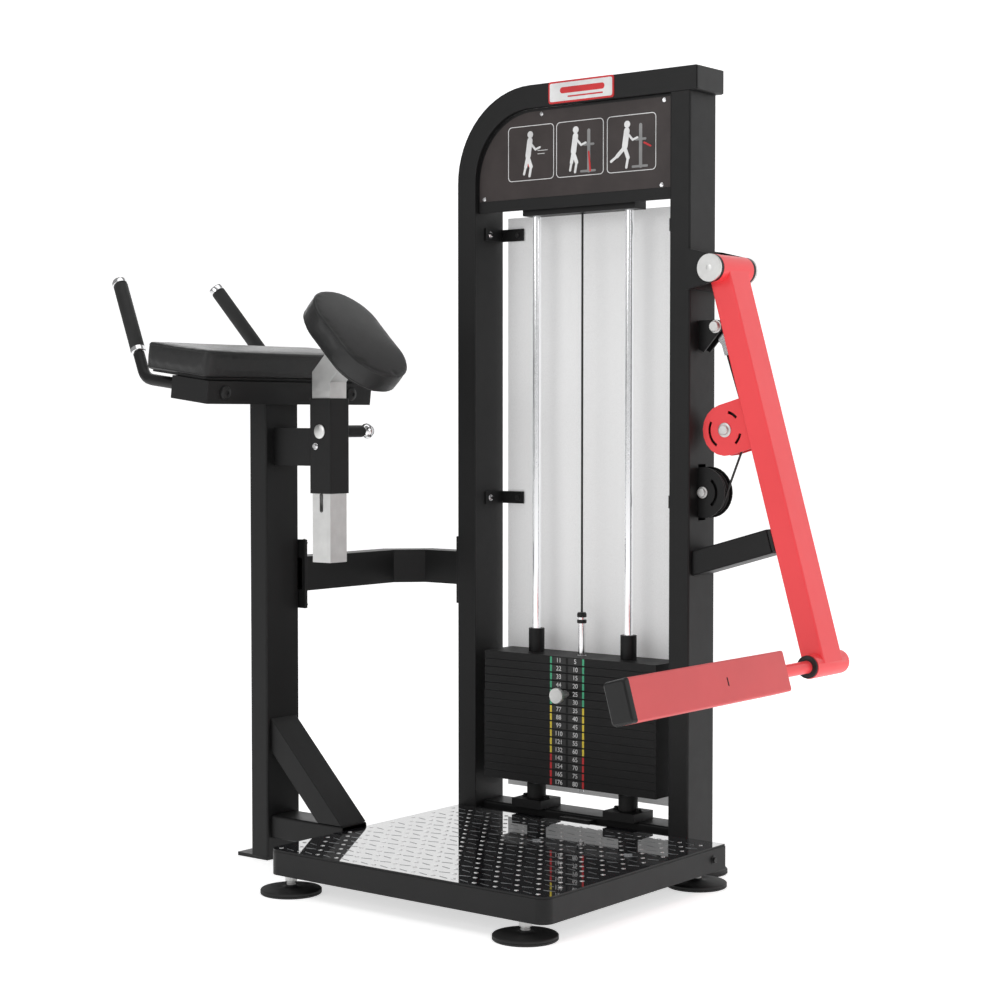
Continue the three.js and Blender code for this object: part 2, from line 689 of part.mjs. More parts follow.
function swingArm() {
  const w = ARM.wide / 2;
  const d = ARM.deep / 2;
  const foot = { front: FOOT_TUBE.front - MID_Y, back: FOOT_TUBE.back - MID_Y };
  const tube = (inset, z0, z1) =>
    raise(roundRect(-w + inset, w - inset, -d + inset, d - inset, 4), z0, z1, 2);
  let body = join(
    tube(0, -ARM.length, -12),
    rodY(ARM.pivotRadius, -ARM.pivotHalf, ARM.pivotHalf, 0, 0, 24),
    rodY(ARM.footRadius, foot.front, foot.back, 0, -ARM.length, 20),
  );
  const bores = [
    tube(WALL, -ARM.length + ARM.footRadius + 2, -ARM.pivotRadius - 1),
    rodY(AXLE.radius + 0.5, -ARM.pivotHalf - 1, ARM.pivotHalf + 1, 0, 0, 20),
    rodY(FOOT_PAD.shaft + 0.6, foot.front - 1, foot.back - 22, 0, -ARM.length, 16),
    rodZ(8, -ARM.length, -ARM.length + ARM.footRadius + 8, 0, 0, 10),
  ];
  for (const bore of bores) body = body.subtract(solid(bore));
  return part("swing_arm", body, RED_STEEL, armGroup);
}

// Two red cheeks on the arm hold the arm pulley on a cross bolt.
function armPulleyHousing() {
  const x = -ARM_PULLEY.out;
  const z = -ARM_PULLEY.along;
  const near = -COVER.inner - COVER.thick;
  const cheek = (y) => {
    const s = new THREE.Shape();
    s.moveTo(-ARM.wide / 2 - GAP, z - COVER.radius);
    s.lineTo(-ARM.wide / 2 - GAP, z + COVER.radius);
    s.lineTo(x, z + COVER.radius);
    s.absarc(x, z, COVER.radius, Math.PI / 2, 1.5 * Math.PI);
    for (const mid of [Math.PI, Math.PI / 4, -Math.PI / 4]) {
      const half = mid === Math.PI ? 0.75 : 0.32;
      const hole = new THREE.Path();
      hole.absarc(x, z, 40, mid - half, mid + half);
      hole.absarc(x, z, 34, mid + half, mid - half, true);
      s.holes.push(hole);
    }
    return pushBack(s, y, y + COVER.thick, 5);
  };
  return part(
    "arm_pulley_housing",
    join(
      cheek(near),
      cheek(COVER.inner),
      rodY(PULLEY.bore - 0.4, near - 1, COVER.inner + COVER.thick + 1, x, z, 16),
      rodY(10, near - 6, near + 1, x, z, 6),
      rodY(10, COVER.inner + COVER.thick - 1, COVER.inner + COVER.thick + 6, x, z, 6),
    ),
    RED_STEEL,
    armGroup,
  );
}

function armPulley() {
  const c = armPulleyCentre();
  return pulley("arm_pulley", c.x, c.z);
}

// Bracket on the side of the upright: a base plate and two tapered ears that hold the axle.
function pivotBracket() {
  const { x, z } = PIVOT;
  const lean = EAR.rootHalf;
  const ear = (y0, y1) => {
    const s = new THREE.Shape();
    s.moveTo(GAP, z - lean);
    s.lineTo(8, z - lean);
    s.lineTo(x + 4, z - EAR.endRadius);
    s.absarc(x, z, EAR.endRadius, -Math.PI / 2 + 0.14, Math.PI / 2 - 0.14);
    s.lineTo(8, z + lean);
    s.lineTo(GAP, z + lean);
    return pushBack(s, y0, y1, 8);
  };
  const near = MID_Y - EAR.inner;
  const far = MID_Y + EAR.inner;
  const body = join(
    ear(near - EAR.thick, near),
    ear(far, far + EAR.thick),
    block(GAP, 8, near - 1, far + 1, z - lean, z + lean),
  );
  const bore = rodY(AXLE.radius + 0.5, near - 20, far + 20, x, z, 20);
  return part("pivot_bracket", body.subtract(solid(bore)), BLACK_STEEL);
}

// Axle of the arm with its two round end caps.
function pivotAxle() {
  const end = EAR.inner + EAR.thick + GAP;
  const cap = (y0, y1) => rodY(AXLE.cap, y0, y1, 0, 0, 24);
  const mesh = part(
    "pivot_axle",
    join(
      rodY(AXLE.radius, -end - 1, end + 1, 0, 0, 20),
      cap(-end - AXLE.capThick, -end),
      cap(end, end + AXLE.capThick),
    ),
    CHROME,
  );
  mesh.position.set(PIVOT.x, MID_Y, PIVOT.z);
  return mesh;
}

function footPad() {
  const pad = new THREE.Group();
  pad.position.set(0, -MID_Y, -ARM.length);
  armGroup.add(pad);
  const half = FOOT_PAD.thick / 2;
  const tall = FOOT_PAD.tall / 2;
  const section = roundRect(-half, half, -tall, tall, 4);
  part("foot_pad", pushBack(section, FOOT_PAD.front, FOOT_PAD.back, 2), RED_PAD, pad);
  const shaft = join(
    rodY(FOOT_PAD.shaft, FOOT_PAD.back + GAP, FOOT_TUBE.back - 28, 0, 0, 16),
    rodY(20, FOOT_TUBE.front - 6, FOOT_TUBE.front - GAP, 0, 0, 20),
  );
  part("foot_pad_shaft", shaft, RED_STEEL, pad);
}

// Stop arm: square to the resting arm, cut off at the upright, with a rubber bumper at its end.
function stopArm() {
  const s = Math.sin(REST_ANGLE);
  const c = Math.cos(REST_ANGLE);
  const end = -ARM.wide / 2 - STOP.bumper - GAP;
  const place = (geometry) => geometry.rotateY(-REST_ANGLE).translate(PIVOT.x, MID_Y, PIVOT.z);
  const z0 = -STOP.along - STOP.tall / 2;
  const z1 = -STOP.along + STOP.tall / 2;
  const half = ARM.deep / 2;
  const outer = place(pushRight(roundRect(-half, half, z0, z1, 4), -260, end, 2));
  const inner = place(pushRight(roundRect(-half + 3, half - 3, z0 + 3, z1 - 3, 2), -270, end + 5, 2));
  const keep = block(GAP, 400, -50, 200, PIVOT.z - ARM.length * c, PIVOT.z - 200 * s);
  const tube = solid(outer).subtract(solid(inner)).intersect(solid(keep));
  part("stop_tube", tube, BLACK_STEEL);
  const face = roundRect(-half + 2, half - 2, z0 + 2, z1 - 2, 4);
  const pad = pushRight(face, end + GAP, end + STOP.bumper - 0.2, 2);
  part("stop_bumper", place(pad), RUBBER);
}

// ---------------------------------------------------------------- elbow post and its links
function elbowPost() {
  const left = POST.right - UPRIGHT.wide;
  const back = POST.front + UPRIGHT.deep;
  const top = POST.top - GAP;
  let body = join(
    tubeZ(left, POST.right, POST.front, back, POST.plate - 1, POST.top + 40),
    block(left - 42, POST.right - 2, POST.front + 1, back - 1, 0, POST.plate),
  );
  body = body.subtract(solid(rodZ(12, -1, POST.plate + 1, POST_MID_X, POST_MID_Y, 12)));
  const lid = new THREE.BoxGeometry(300, 400, 200).rotateY(PAD_TILT).translate(
    POST_MID_X + 100 * Math.sin(PAD_TILT),
    POST_MID_Y,
    top + 100 * Math.cos(PAD_TILT),
  );
  return part("elbow_post", body.subtract(solid(lid)), BLACK_STEEL);
}

// Square tube that props the post from the low beam, cut flat at both ends.
function postBrace() {
  const near = POST_MID_Y - LOW_BEAM.wide / 2;
  const far = POST_MID_Y + LOW_BEAM.wide / 2;
  const x0 = POST.right + GAP;
  const foot = LOW_BEAM.top + GAP;
  const lean = Math.atan2(BRACE.top - foot, BRACE.foot - x0);
  const side = (inset, over) => {
    const drop = (d) => d / Math.cos(lean);
    const shift = (d) => d / Math.sin(lean);
    const at = (x, d) => BRACE.top - drop(d) - (x - x0) * Math.tan(lean);
    const xAt = (z, d) => BRACE.foot - shift(d) + (foot - z) / Math.tan(lean);
    return outline([
      [x0 - over, at(x0 - over, BRACE.thick - inset)],
      [xAt(foot - over, BRACE.thick - inset), foot - over],
      [xAt(foot - over, inset), foot - over],
      [x0 - over, at(x0 - over, inset)],
    ]);
  };
  const body = cut(pushBack(side(0, 0), near, far), pushBack(side(WALL, 40), near + WALL, far - WALL));
  return part("post_brace", body, BLACK_STEEL);
}

function postBaseBeam() {
  const yMid = POST_MID_Y;
  const half = LOW_BEAM.wide / 2;
  return part(
    "post_base_beam",
    tubeX(POST.right + GAP, LOW_BEAM.right, yMid - half, yMid + half, LOW_BEAM.low, LOW_BEAM.top),
    BLACK_STEEL,
  );
}

// Tube from the back of the post to the side of the tower, with a chamfered corner and end plates.
function crossTube() {
  const right = CROSS.right;
  const left = right - CROSS.wide;
  const near = CROSS.face;
  const far = near + CROSS.wide;
  const start = POST.front + UPRIGHT.deep + GAP;
  const end = -TOWER.width - GAP;
  const c = CROSS.chamfer;
  const outerCut = c + CROSS.wide * (2 - Math.SQRT2);
  const plan = (inset) => {
    const over = inset ? 20 : 0;
    const k = inset * (Math.SQRT2 - 1);
    return outline([
      [left + inset, start - over],
      [right - inset, start - over],
      [right - inset, near - c + k],
      [right + c - k, near + inset],
      [end + over, near + inset],
      [end + over, far - inset],
      [left + outerCut + k, far - inset],
      [left + inset, far - outerCut - k],
    ]);
  };
  const mid = (CROSS.low + CROSS.top) / 2;
  const low = mid - CROSS.plateHalf;
  const post = [left - 10, right + 6, start, start + CROSS.plate, low, mid + CROSS.plateHalf];
  const tower = [end - CROSS.plate, end, 4, UPRIGHT.deep - 1, mid - CROSS.plateHalf, mid + CROSS.plateHalf];
  const body = join(raise(plan(0), CROSS.low, CROSS.top), block(...post), block(...tower));
  const bore = solid(raise(plan(WALL), CROSS.low + WALL, CROSS.top - WALL));
  return part("cross_tube", body.subtract(bore), BLACK_STEEL);
}

// ---------------------------------------------------------------- chest pad and its mast
function adjusterSleeve() {
  const x0 = SLEEVE.left;
  const x1 = x0 + SLEEVE.size;
  const half = SLEEVE.size / 2;
  const inner = MAST.size / 2 + 0.6;
  const shape = roundRect(x0, x1, POST_MID_Y - half, POST_MID_Y + half, 4);
  shape.holes.push(
    roundRect(SLEEVE_MID_X - inner, SLEEVE_MID_X + inner, POST_MID_Y - inner, POST_MID_Y + inner, 0.8),
  );
  const link = block(
    POST.right + GAP,
    x0 + 2,
    POST_MID_Y - SLEEVE.link / 2,
    POST_MID_Y + SLEEVE.link / 2,
    SLEEVE.linkLow,
    SLEEVE.linkTop,
  );
  const linkBore = block(
    POST.right - 5,
    x0 - 3,
    POST_MID_Y - SLEEVE.link / 2 + WALL,
    POST_MID_Y + SLEEVE.link / 2 - WALL,
    SLEEVE.linkLow + WALL,
    SLEEVE.linkTop - WALL,
  );
  const outer = POST_MID_Y + half;
  const barrel = rodY(LOCK.barrel, outer - 1, outer + LOCK.barrelLength, SLEEVE_MID_X, LOCK.z, 18);
  const pinHole = rodY(LOCK.plunger + 0.8, POST_MID_Y + 10, outer + 90, SLEEVE_MID_X, LOCK.z, 14);
  const body = solid(raise(shape, SLEEVE.low, SLEEVE.top, 2))
    .add(solid(link).subtract(solid(linkBore)))
    .add(solid(barrel))
    .subtract(solid(pinHole));
  return part("adjuster_sleeve", body, BLACK_STEEL);
}

// Square mast with a 45 degree elbow that carries the chest pad.
const mastGroup = new THREE.Group();
mastGroup.position.set(SLEEVE_MID_X, POST_MID_Y, 0);
root.add(mastGroup);

function mast() {
  const half = MAST.size / 2;
  const miter = half * Math.tan(Math.PI / 8);
  const d = Math.SQRT1_2;
  const far = MAST.stub;
  const side = (inset, over) => {
    const h = half - inset;
    const m = (h / half) * miter;
    const tip = far + over;
    return outline([
      [-h, MAST.low - over],
      [h, MAST.low - over],
      [h, MAST.bend - m],
      [tip * d + h * d, MAST.bend + tip * d - h * d],
      [tip * d - h * d, MAST.bend + tip * d + h * d],
      [-h, MAST.bend + m],
    ]);
  };
  let body = cut(
    pushBack(side(0, 0), -half, half),
    pushBack(side(MAST.wall, 10), -half + MAST.wall, half - MAST.wall),
  );
  const plate = new THREE.BoxGeometry(7, 130, 110).translate(MAST.stub + 2.5, 0, 0).rotateY(-CHEST.tilt);
  const slot = pushBack(roundRect(-5, 5, 756, 797, 4.9), -half - 1, 0, 4);
  body = body.add(solid(plate.translate(0, 0, MAST.bend))).subtract(solid(slot));
  for (let z = 690; z < 800; z += 30) body = body.subtract(solid(rodY(6, 0, half + 1, 0, z, 12)));
  return part("chest_pad_mast", body, CHROME, mastGroup);
}

function chestPad() {
  const shape = roundRect(-CHEST.long / 2, CHEST.long / 2, -CHEST.wide / 2, CHEST.wide / 2, 88);
  const body = extrude(shape, CHEST.thick, 8);
  body.translate(0, 0, MAST.stub + 6 + GAP).rotateY(Math.PI / 2 - CHEST.tilt);
  return part("chest_pad", body.translate(0, 0, MAST.bend), VINYL, mastGroup);
}

// Spring plunger that slides in the sleeve's barrel, with a ball to pull.
function pullPin() {
  const end = POST_MID_Y + SLEEVE.size / 2 + LOCK.barrelLength;
  return part(
    "pull_pin",
    join(
      rodY(LOCK.plunger, POST_MID_Y + MAST.size / 2 + 0.9, end + 10, SLEEVE_MID_X, LOCK.z, 14),
      new THREE.SphereGeometry(LOCK.ball, 14, 8).translate(SLEEVE_MID_X, end + 19, LOCK.z),
    ),
    CHROME,
  );
}

// ---------------------------------------------------------------- elbow rest
// The rest group is tipped so that its outer edge, towards the handles, is higher.
const restGroup = new THREE.Group();
restGroup.position.set(REST_MID_X, POST_MID_Y, TRAY.z);
restGroup.rotation.y = PAD_TILT;
root.add(restGroup);
const restX = (x) => x - REST_MID_X;

// Open-topped tray under the pad, closed at both ends.
function padTray() {
  const x0 = restX(TRAY.left);
  const x1 = restX(TRAY.right);
  const w = TRAY.wall;
  const body = cut(
    block(x0, x1, -TRAY.half, TRAY.half, 0, TRAY.tall),
    block(x0 + w, x1 - w, -TRAY.half + w, TRAY.half - w, w, TRAY.tall + 1),
  );
  return part("pad_tray", body, BLACK_STEEL, restGroup);
}

function elbowPad() {
  const shape = roundRect(restX(ELBOW_PAD.left), restX(ELBOW_PAD.right), -ELBOW_PAD.half, ELBOW_PAD.half, 14);
  const low = TRAY.tall + GAP;
  return part("forearm_pad", raise(shape, low, low + ELBOW_PAD.tall, 4), VINYL, restGroup);
}

// Bent round bar from the tray out to the upright grip, which leans out and slightly inwards.
function handle(name, side) {
  const z = 27;
  const foot = new THREE.Vector3(restX(TRAY.left) - GAP, side * HANDLE.spread, z);
  const elbow = new THREE.Vector3(restX(HANDLE.bend), side * HANDLE.spread, z);
  const lean = new THREE.Vector3(-HANDLE_LEAN.out, -side * HANDLE_LEAN.inward, HANDLE_LEAN.rise);
  const top = elbow.clone().add(lean);
  const low = elbow.clone().addScaledVector(lean, HANDLE.gripStart);
  const bar = solid(barAlong(roundedRoute([foot, elbow, top], 45, 4), HANDLE.radius, 12));
  const grip = new THREE.CurvePath();
  grip.add(new THREE.LineCurve3(low, top));
  return part(`handle_${name}`, bar.add(solid(barAlong(grip, HANDLE.grip, 14))), BLACK_STEEL, restGroup);
}

// ---------------------------------------------------------------- platform and feet
function platformShape(inset) {
  const { left, right, front, back } = PLATFORM;
  const { corner } = RIM;
  const r = Math.max(corner - inset, 1);
  const s = new THREE.Shape();
  s.moveTo(left + inset + r, front + inset);
  s.lineTo(right - inset - r, front + inset);
  s.absarc(right - inset - r, front + inset + r, r, -Math.PI / 2, 0);
  s.lineTo(right - inset, back - inset);
  s.lineTo(left + inset, back - inset);
  s.lineTo(left + inset, front + inset + r);
  s.absarc(left + inset + r, front + inset + r, r, Math.PI, 1.5 * Math.PI);
  return s;
}

const footPlaces = [
  ["front_right", 28, PLATFORM.front + FOOT.inset],
  ["front_left", -567, PLATFORM.front + FOOT.inset],
  ["rear_right", 42, -30],
  ["rear_left", -567, -34],
];
const towerFootPlaces = [
  ["tower_right", -25, 80],
  ["tower_left", -TOWER.width + 25, 92],
];

// Rim of formed steel channel, open below, with a seat plate over each foot.
function platformFrame() {
  const { left, right, front, back, low, top } = PLATFORM;
  const rim = RIM.wide;
  const hollow = (a, b) => {
    const s = platformShape(a);
    s.holes.push(outline([
      [left + b, front + b],
      [right - b, front + b],
      [right - b, back - b],
      [left + b, back - b],
    ]));
    return s;
  };
  let body = solid(raise(hollow(0, rim), low, top, 5)).subtract(
    solid(raise(hollow(WALL, rim - WALL), low - 1, top - WALL, 5)),
  );
  for (const [, x, y] of footPlaces) {
    const rail = y < (front + back) / 2 ? front : back - rim;
    body = body.add(solid(block(x - 22, x + 22, rail + 1, rail + rim - 1, low, low + 5)));
  }
  return part("platform_frame", body, BLACK_STEEL);
}

function treadPlate() {
  const low = PLATFORM.top + GAP;
  return part("tread_plate", raise(platformShape(TREAD.over), low, low + TREAD.thick, 5), TREAD_BLACK);
}

// Levelling foot: rubber-shod disc on a threaded stem with a nut.
function foot(name, x, y, top) {
  const profile = [
    [0, 0],
    [FOOT.radius, 0],
    [FOOT.radius, FOOT.thick - 3],
    [FOOT.radius - 6, FOOT.thick],
    [FOOT.stem, FOOT.thick + 2],
    [FOOT.stem, top - 14],
    [12, top - 14],
    [12, top - GAP],
    [0, top - GAP],
  ];
  const geometry = new THREE.LatheGeometry(profile.map(([r, z]) => new THREE.Vector2(r, z)), 20);
  return part(`foot_${name}`, geometry.rotateX(Math.PI / 2).translate(x, y, 0), RUBBER);
}

// ---------------------------------------------------------------- assembly
bentTube();
rightUpright();
beamEndCap();
baseBeam();
headerPanel();
rodHolder();
rearShroud();
for (const [name, side] of [["left", -1], ["right", 1]]) {
  guideRod(name, side);
  bumper(name, side);
}

const liftedStack = new THREE.Group();
root.add(liftedStack);
headPlate(liftedStack);
for (let n = 2; n <= PLATE.lifted; n++) weightPlate(n, liftedStack);
selectorStem(liftedStack);
selectorPin(liftedStack);
restingPlates();

stackCable();
headerCable();
pulley("header_pulley_centre", HEADER_CENTRE_X, HEADER_PULLEY_Z);
pulley("header_pulley_right", HEADER_RIGHT_X, HEADER_PULLEY_Z);
pulleyCarrier();
pulley("lower_pulley", LOWER_PULLEY.x, LOWER_PULLEY.z);
lowerPulleyHousing();
armPulley();
cableAnchor();
cableEndFitting();
armCable();

swingArm();
armPulleyHousing();
pivotBracket();
pivotAxle();
footPad();
stopArm();

elbowPost();
postBrace();
postBaseBeam();
crossTube();
adjusterSleeve();
mast();
chestPad();
pullPin();
padTray();
elbowPad();
handle("left", -1);
handle("right", 1);

platformFrame();
treadPlate();
for (const [name, x, y] of footPlaces) foot(name, x, y, PLATFORM.low);
for (const [name, x, y] of towerFootPlaces) foot(name, x, y, TOWER.foot);

root.updateMatrixWorld(true);
const bounds = new THREE.Box3().setFromObject(root, true);
root.position.set(-(bounds.min.x + bounds.max.x) / 2, -(bounds.min.y + bounds.max.y) / 2, -bounds.min.z);

export default root;
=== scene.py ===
import json
import math
import bmesh
import bpy
from mathutils import Matrix, Vector


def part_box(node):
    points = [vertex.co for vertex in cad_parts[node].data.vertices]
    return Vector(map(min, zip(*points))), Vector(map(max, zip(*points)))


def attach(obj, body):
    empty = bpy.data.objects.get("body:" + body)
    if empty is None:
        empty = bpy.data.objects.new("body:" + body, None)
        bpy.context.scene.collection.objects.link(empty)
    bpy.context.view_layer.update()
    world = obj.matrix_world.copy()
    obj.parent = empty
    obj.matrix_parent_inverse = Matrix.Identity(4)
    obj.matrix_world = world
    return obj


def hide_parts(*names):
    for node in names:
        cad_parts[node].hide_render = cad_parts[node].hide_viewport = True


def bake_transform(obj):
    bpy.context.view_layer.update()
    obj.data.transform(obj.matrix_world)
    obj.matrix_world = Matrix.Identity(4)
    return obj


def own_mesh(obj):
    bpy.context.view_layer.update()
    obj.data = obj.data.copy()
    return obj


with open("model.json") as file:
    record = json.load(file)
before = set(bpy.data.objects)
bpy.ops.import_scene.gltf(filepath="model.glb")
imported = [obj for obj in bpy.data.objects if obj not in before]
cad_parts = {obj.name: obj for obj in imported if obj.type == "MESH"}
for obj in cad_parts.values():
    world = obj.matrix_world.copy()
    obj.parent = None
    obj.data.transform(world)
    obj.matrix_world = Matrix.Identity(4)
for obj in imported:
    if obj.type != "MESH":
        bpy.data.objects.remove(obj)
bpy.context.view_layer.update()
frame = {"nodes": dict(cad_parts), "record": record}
NODES = frame["nodes"]
BODY_OF = {n: b for b, ns in frame["record"]["behaviour"]["bodies"].items() for n in ns}
SLOT_OF = {s["node"]: s["material_slot"] for s in frame["record"]["subparts"]}

# The design frame: x = 0 is the right upright's outer face, y = 0 the tower's front plane.
upright_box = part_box("tower_right_upright")
OX, OY = upright_box[1].x, upright_box[0].y
MM = 0.001
REST = math.radians(16)
PAD_TILT = math.radians(7)
MID_X, MID_Y = -306.5, 50.0
PIVOT = (60.0, 1259.0)
ARM_LENGTH = 825
ARM_PULLEY_ALONG, ARM_PULLEY_OUT = 316.7, 85.6
LOWER_PULLEY = (12.0, 802.0)
CABLE_ANCHOR = (41.0, 1143.0)
TRACK_RADIUS = 45
CABLE_RADIUS = 2.4
REST_ORIGIN = (-840, -352, 991)
PLATE_PITCH, PLATE_LOW, PLATE_COUNT, PLATES_LIFTED = 17.65, 159.3, 16, 5
PLATE_HALF = 8.6
ROD_SPREAD = 123
TREAD_TOP = 88.7
MAST_X, MAST_Y = -676, -352
LOCK_Z = 927
FOREARM_PAD_X = -885.5
HANDLE_BEND = (-1022, 208, 27)
HANDLE_LEAN = (-178, -63, 196)


def at(x, y, z):
    """A point of the design frame, given in millimetres, in the row frame."""
    return Vector((OX + x * MM, OY + y * MM, z * MM))


def down_arm(along, out=0):
    """(x, z) of a point of the swing arm at rest: along it from the pivot, and out towards the tower."""
    x = PIVOT[0] + along * math.sin(REST) - out * math.cos(REST)
    z = PIVOT[1] - along * math.cos(REST) - out * math.sin(REST)
    return x, z


def plate_middle(n):
    """Height of the middle of the plate that is number n from the top of the stack."""
    return PLATE_LOW + (PLATE_COUNT - n) * PLATE_PITCH + PLATE_HALF


# ---------------------------------------------------------------- camera, light, floor
def studio():
    """Camera, four area lights, a floor that curves up behind, and a world that looks white to the camera."""
    scene = bpy.context.scene
    scene.view_settings.view_transform = "Standard"
    scene.view_settings.look = "None"
    cam = bpy.data.objects.new("camera", bpy.data.cameras.new("camera"))
    cam.data.sensor_width = 36
    cam.data.lens = 74.15
    cam.data.clip_end = 100
    cam.location = at(2311.4, -3557.6, 958.6)
    cam.rotation_euler = (math.radians(87.68), 0, math.radians(38.25))
    scene.collection.objects.link(cam)
    scene.camera = cam

    world = bpy.data.worlds.new("studio")
    world.use_nodes = True
    tree = world.node_tree
    tree.nodes["Background"].inputs["Color"].default_value = (1, 1, 1, 1)
    rays = tree.nodes.new("ShaderNodeLightPath")
    level = tree.nodes.new("ShaderNodeMapRange")
    level.inputs["To Min"].default_value = 0.30
    level.inputs["To Max"].default_value = 1.0
    tree.links.new(rays.outputs["Is Camera Ray"], level.inputs["Value"])
    tree.links.new(level.outputs["Result"], tree.nodes["Background"].inputs["Strength"])
    scene.world = world

    def area(name, where, aim, size, power):
        light = bpy.data.lights.new(name, "AREA")
        light.shape = "RECTANGLE"
        light.size, light.size_y = size
        light.energy = power
        obj = bpy.data.objects.new(name, light)
        obj.location = where
        obj.rotation_euler = (Vector(aim) - Vector(where)).to_track_quat("-Z", "Y").to_euler()
        scene.collection.objects.link(obj)

    area("key", (4.2, -0.6, 2.6), (0, 0, 0.9), (2.4, 2.4), 25)
    area("front", (-1.2, -4.6, 2.6), (0, 0, 0.9), (3.0, 2.0), 46)
    area("overhead", (0, -0.6, 4.2), (0, 0, 0), (3.4, 3.0), 34)
    area("rim", (-3.6, 2.4, 2.6), (0, 0, 0.9), (1.6, 2.2), 9)

    bm = bmesh.new()
    side, near, far, rise = 24.0, -24.0, 5.0, 9.0
    rows = [(near, 0.0), (far, 0.0)]
    rows += [(far + 3 * math.sin(a), 3 - 3 * math.cos(a)) for a in [i * math.pi / 24 for i in range(1, 13)]]
    rows += [(far + 3, rise)]
    rings = [[bm.verts.new((s * side, y, z - 0.0002)) for s in (-1, 1)] for y, z in rows]
    for a, b in zip(rings, rings[1:]):
        bm.faces.new((a[0], a[1], b[1], b[0]))
    mesh = bpy.data.meshes.new("studio_floor")
    bm.to_mesh(mesh)
    bm.free()
    mesh.shade_smooth()
    floor = bpy.data.objects.new("studio_floor", mesh)
    scene.collection.objects.link(floor)
    floor.data.materials.append(floor_material())


# ---------------------------------------------------------------- materials
class Graph:
    """Small helper that builds a node material around one Principled BSDF."""

    def __init__(self, name):
        self.mat = bpy.data.materials.new(name)
        self.mat.use_nodes = True
        self.tree = self.mat.node_tree
        self.bsdf = self.tree.nodes["Principled BSDF"]
        self.coord = self.tree.nodes.new("ShaderNodeTexCoord").outputs["Object"]

    def node(self, kind, **values):
        n = self.tree.nodes.new(kind)
        for key, value in values.items():
            if hasattr(n, key):
                setattr(n, key, value)
            else:
                n.inputs[key.replace("_", " ")].default_value = value
        return n

    def link(self, a, b):
        self.tree.links.new(a, b)

    def noise(self, scale, detail=3, rough=0.5):
        n = self.node("ShaderNodeTexNoise")
        n.inputs["Scale"].default_value = scale
        n.inputs["Detail"].default_value = detail
        n.inputs["Roughness"].default_value = rough
        self.link(self.coord, n.inputs["Vector"])
        return n.outputs["Fac"]

    def cells(self, scale, feature="F1"):
        n = self.node("ShaderNodeTexVoronoi")
        n.feature = feature
        n.inputs["Scale"].default_value = scale
        self.link(self.coord, n.inputs["Vector"])
        return n.outputs["Distance"]

    def ramp(self, fac, *stops):
        n = self.node("ShaderNodeValToRGB")
        elements = n.color_ramp.elements
        while len(elements) < len(stops):
            elements.new(0.5)
        for element, (place, color) in zip(elements, stops):
            element.position = place
            element.color = (*color, 1) if len(color) == 3 else color
        self.link(fac, n.inputs["Fac"])
        return n.outputs["Color"]

    def to_range(self, fac, low, high):
        n = self.node("ShaderNodeMapRange")
        n.inputs["To Min"].default_value = low
        n.inputs["To Max"].default_value = high
        self.link(fac, n.inputs["Value"])
        return n.outputs["Result"]

    def bump(self, height, distance, strength=1.0):
        n = self.node("ShaderNodeBump")
        n.inputs["Strength"].default_value = strength
        n.inputs["Distance"].default_value = distance
        self.link(height, n.inputs["Height"])
        self.link(n.outputs["Normal"], self.bsdf.inputs["Normal"])

    def color(self, socket):
        self.link(socket, self.bsdf.inputs["Base Color"])

    def rough(self, socket):
        self.link(socket, self.bsdf.inputs["Roughness"])

    def set(self, **values):
        for key, value in values.items():
            self.bsdf.inputs[key.replace("_", " ")].default_value = value


def shades(color, spread):
    low = tuple(max(c * (1 - spread), 0) for c in color)
    high = tuple(min(c * (1 + spread), 1) for c in color)
    return low, high


def powder_coat(name, color, rough, grain=0.00006, coat=0.0, spread=0.07, specular=0.4):
    g = Graph(name)
    low, high = shades(color, spread)
    g.color(g.ramp(g.noise(6, 4), (0.3, low), (0.7, high)))
    g.rough(g.to_range(g.noise(35, 5), rough - 0.05, rough + 0.07))
    g.bump(g.noise(620, 2, 0.6), grain, 0.7)
    g.set(Metallic=0.0, Specular_IOR_Level=specular, Coat_Weight=coat, Coat_Roughness=0.2)
    return g.mat


def metal(name, color, rough, scratch=0.0):
    g = Graph(name)
    low, high = shades(color, 0.05)
    g.color(g.ramp(g.noise(40, 4), (0.3, low), (0.7, high)))
    g.rough(g.to_range(g.noise(90, 5), rough * 0.75, rough * 1.35))
    g.bump(g.noise(500, 2), 0.00002 + scratch, 0.5)
    g.set(Metallic=1.0)
    return g.mat


def moulded(name, color, rough, grain=0.00008, scale=700, specular=0.5):
    g = Graph(name)
    low, high = shades(color, 0.15)
    g.color(g.ramp(g.noise(18, 4), (0.3, low), (0.7, high)))
    g.rough(g.to_range(g.noise(60, 4), rough - 0.06, rough + 0.08))
    g.bump(g.cells(scale), grain, 0.5)
    g.set(Specular_IOR_Level=specular)
    return g.mat


def vinyl(name, color, rough, scale=520, grain=0.00025):
    g = Graph(name)
    low, high = shades(color, 0.18)
    g.color(g.ramp(g.noise(9, 5), (0.3, low), (0.7, high)))
    crease = g.cells(scale, "DISTANCE_TO_EDGE")
    g.rough(g.to_range(g.noise(45, 4), rough - 0.05, rough + 0.08))
    g.bump(g.ramp(crease, (0.0, (0, 0, 0)), (0.12, (1, 1, 1))), grain, 0.35)
    g.set(Sheen_Weight=0.06, Sheen_Roughness=0.5, Specular_IOR_Level=0.5)
    return g.mat


def bright_rod():
    g = Graph("look_bright")
    g.color(g.ramp(g.noise(40, 4), (0.3, (0.93, 0.93, 0.94)), (0.7, (0.97, 0.97, 0.98))))
    g.rough(g.to_range(g.noise(90, 5), 0.12, 0.2))
    # The white emission makes the rods glow: a painted highlight over their bright chrome colour.
    g.bsdf.inputs["Emission Color"].default_value = (0.95, 0.97, 1, 1)
    g.set(Metallic=1.0, Emission_Strength=0.22)
    return g.mat


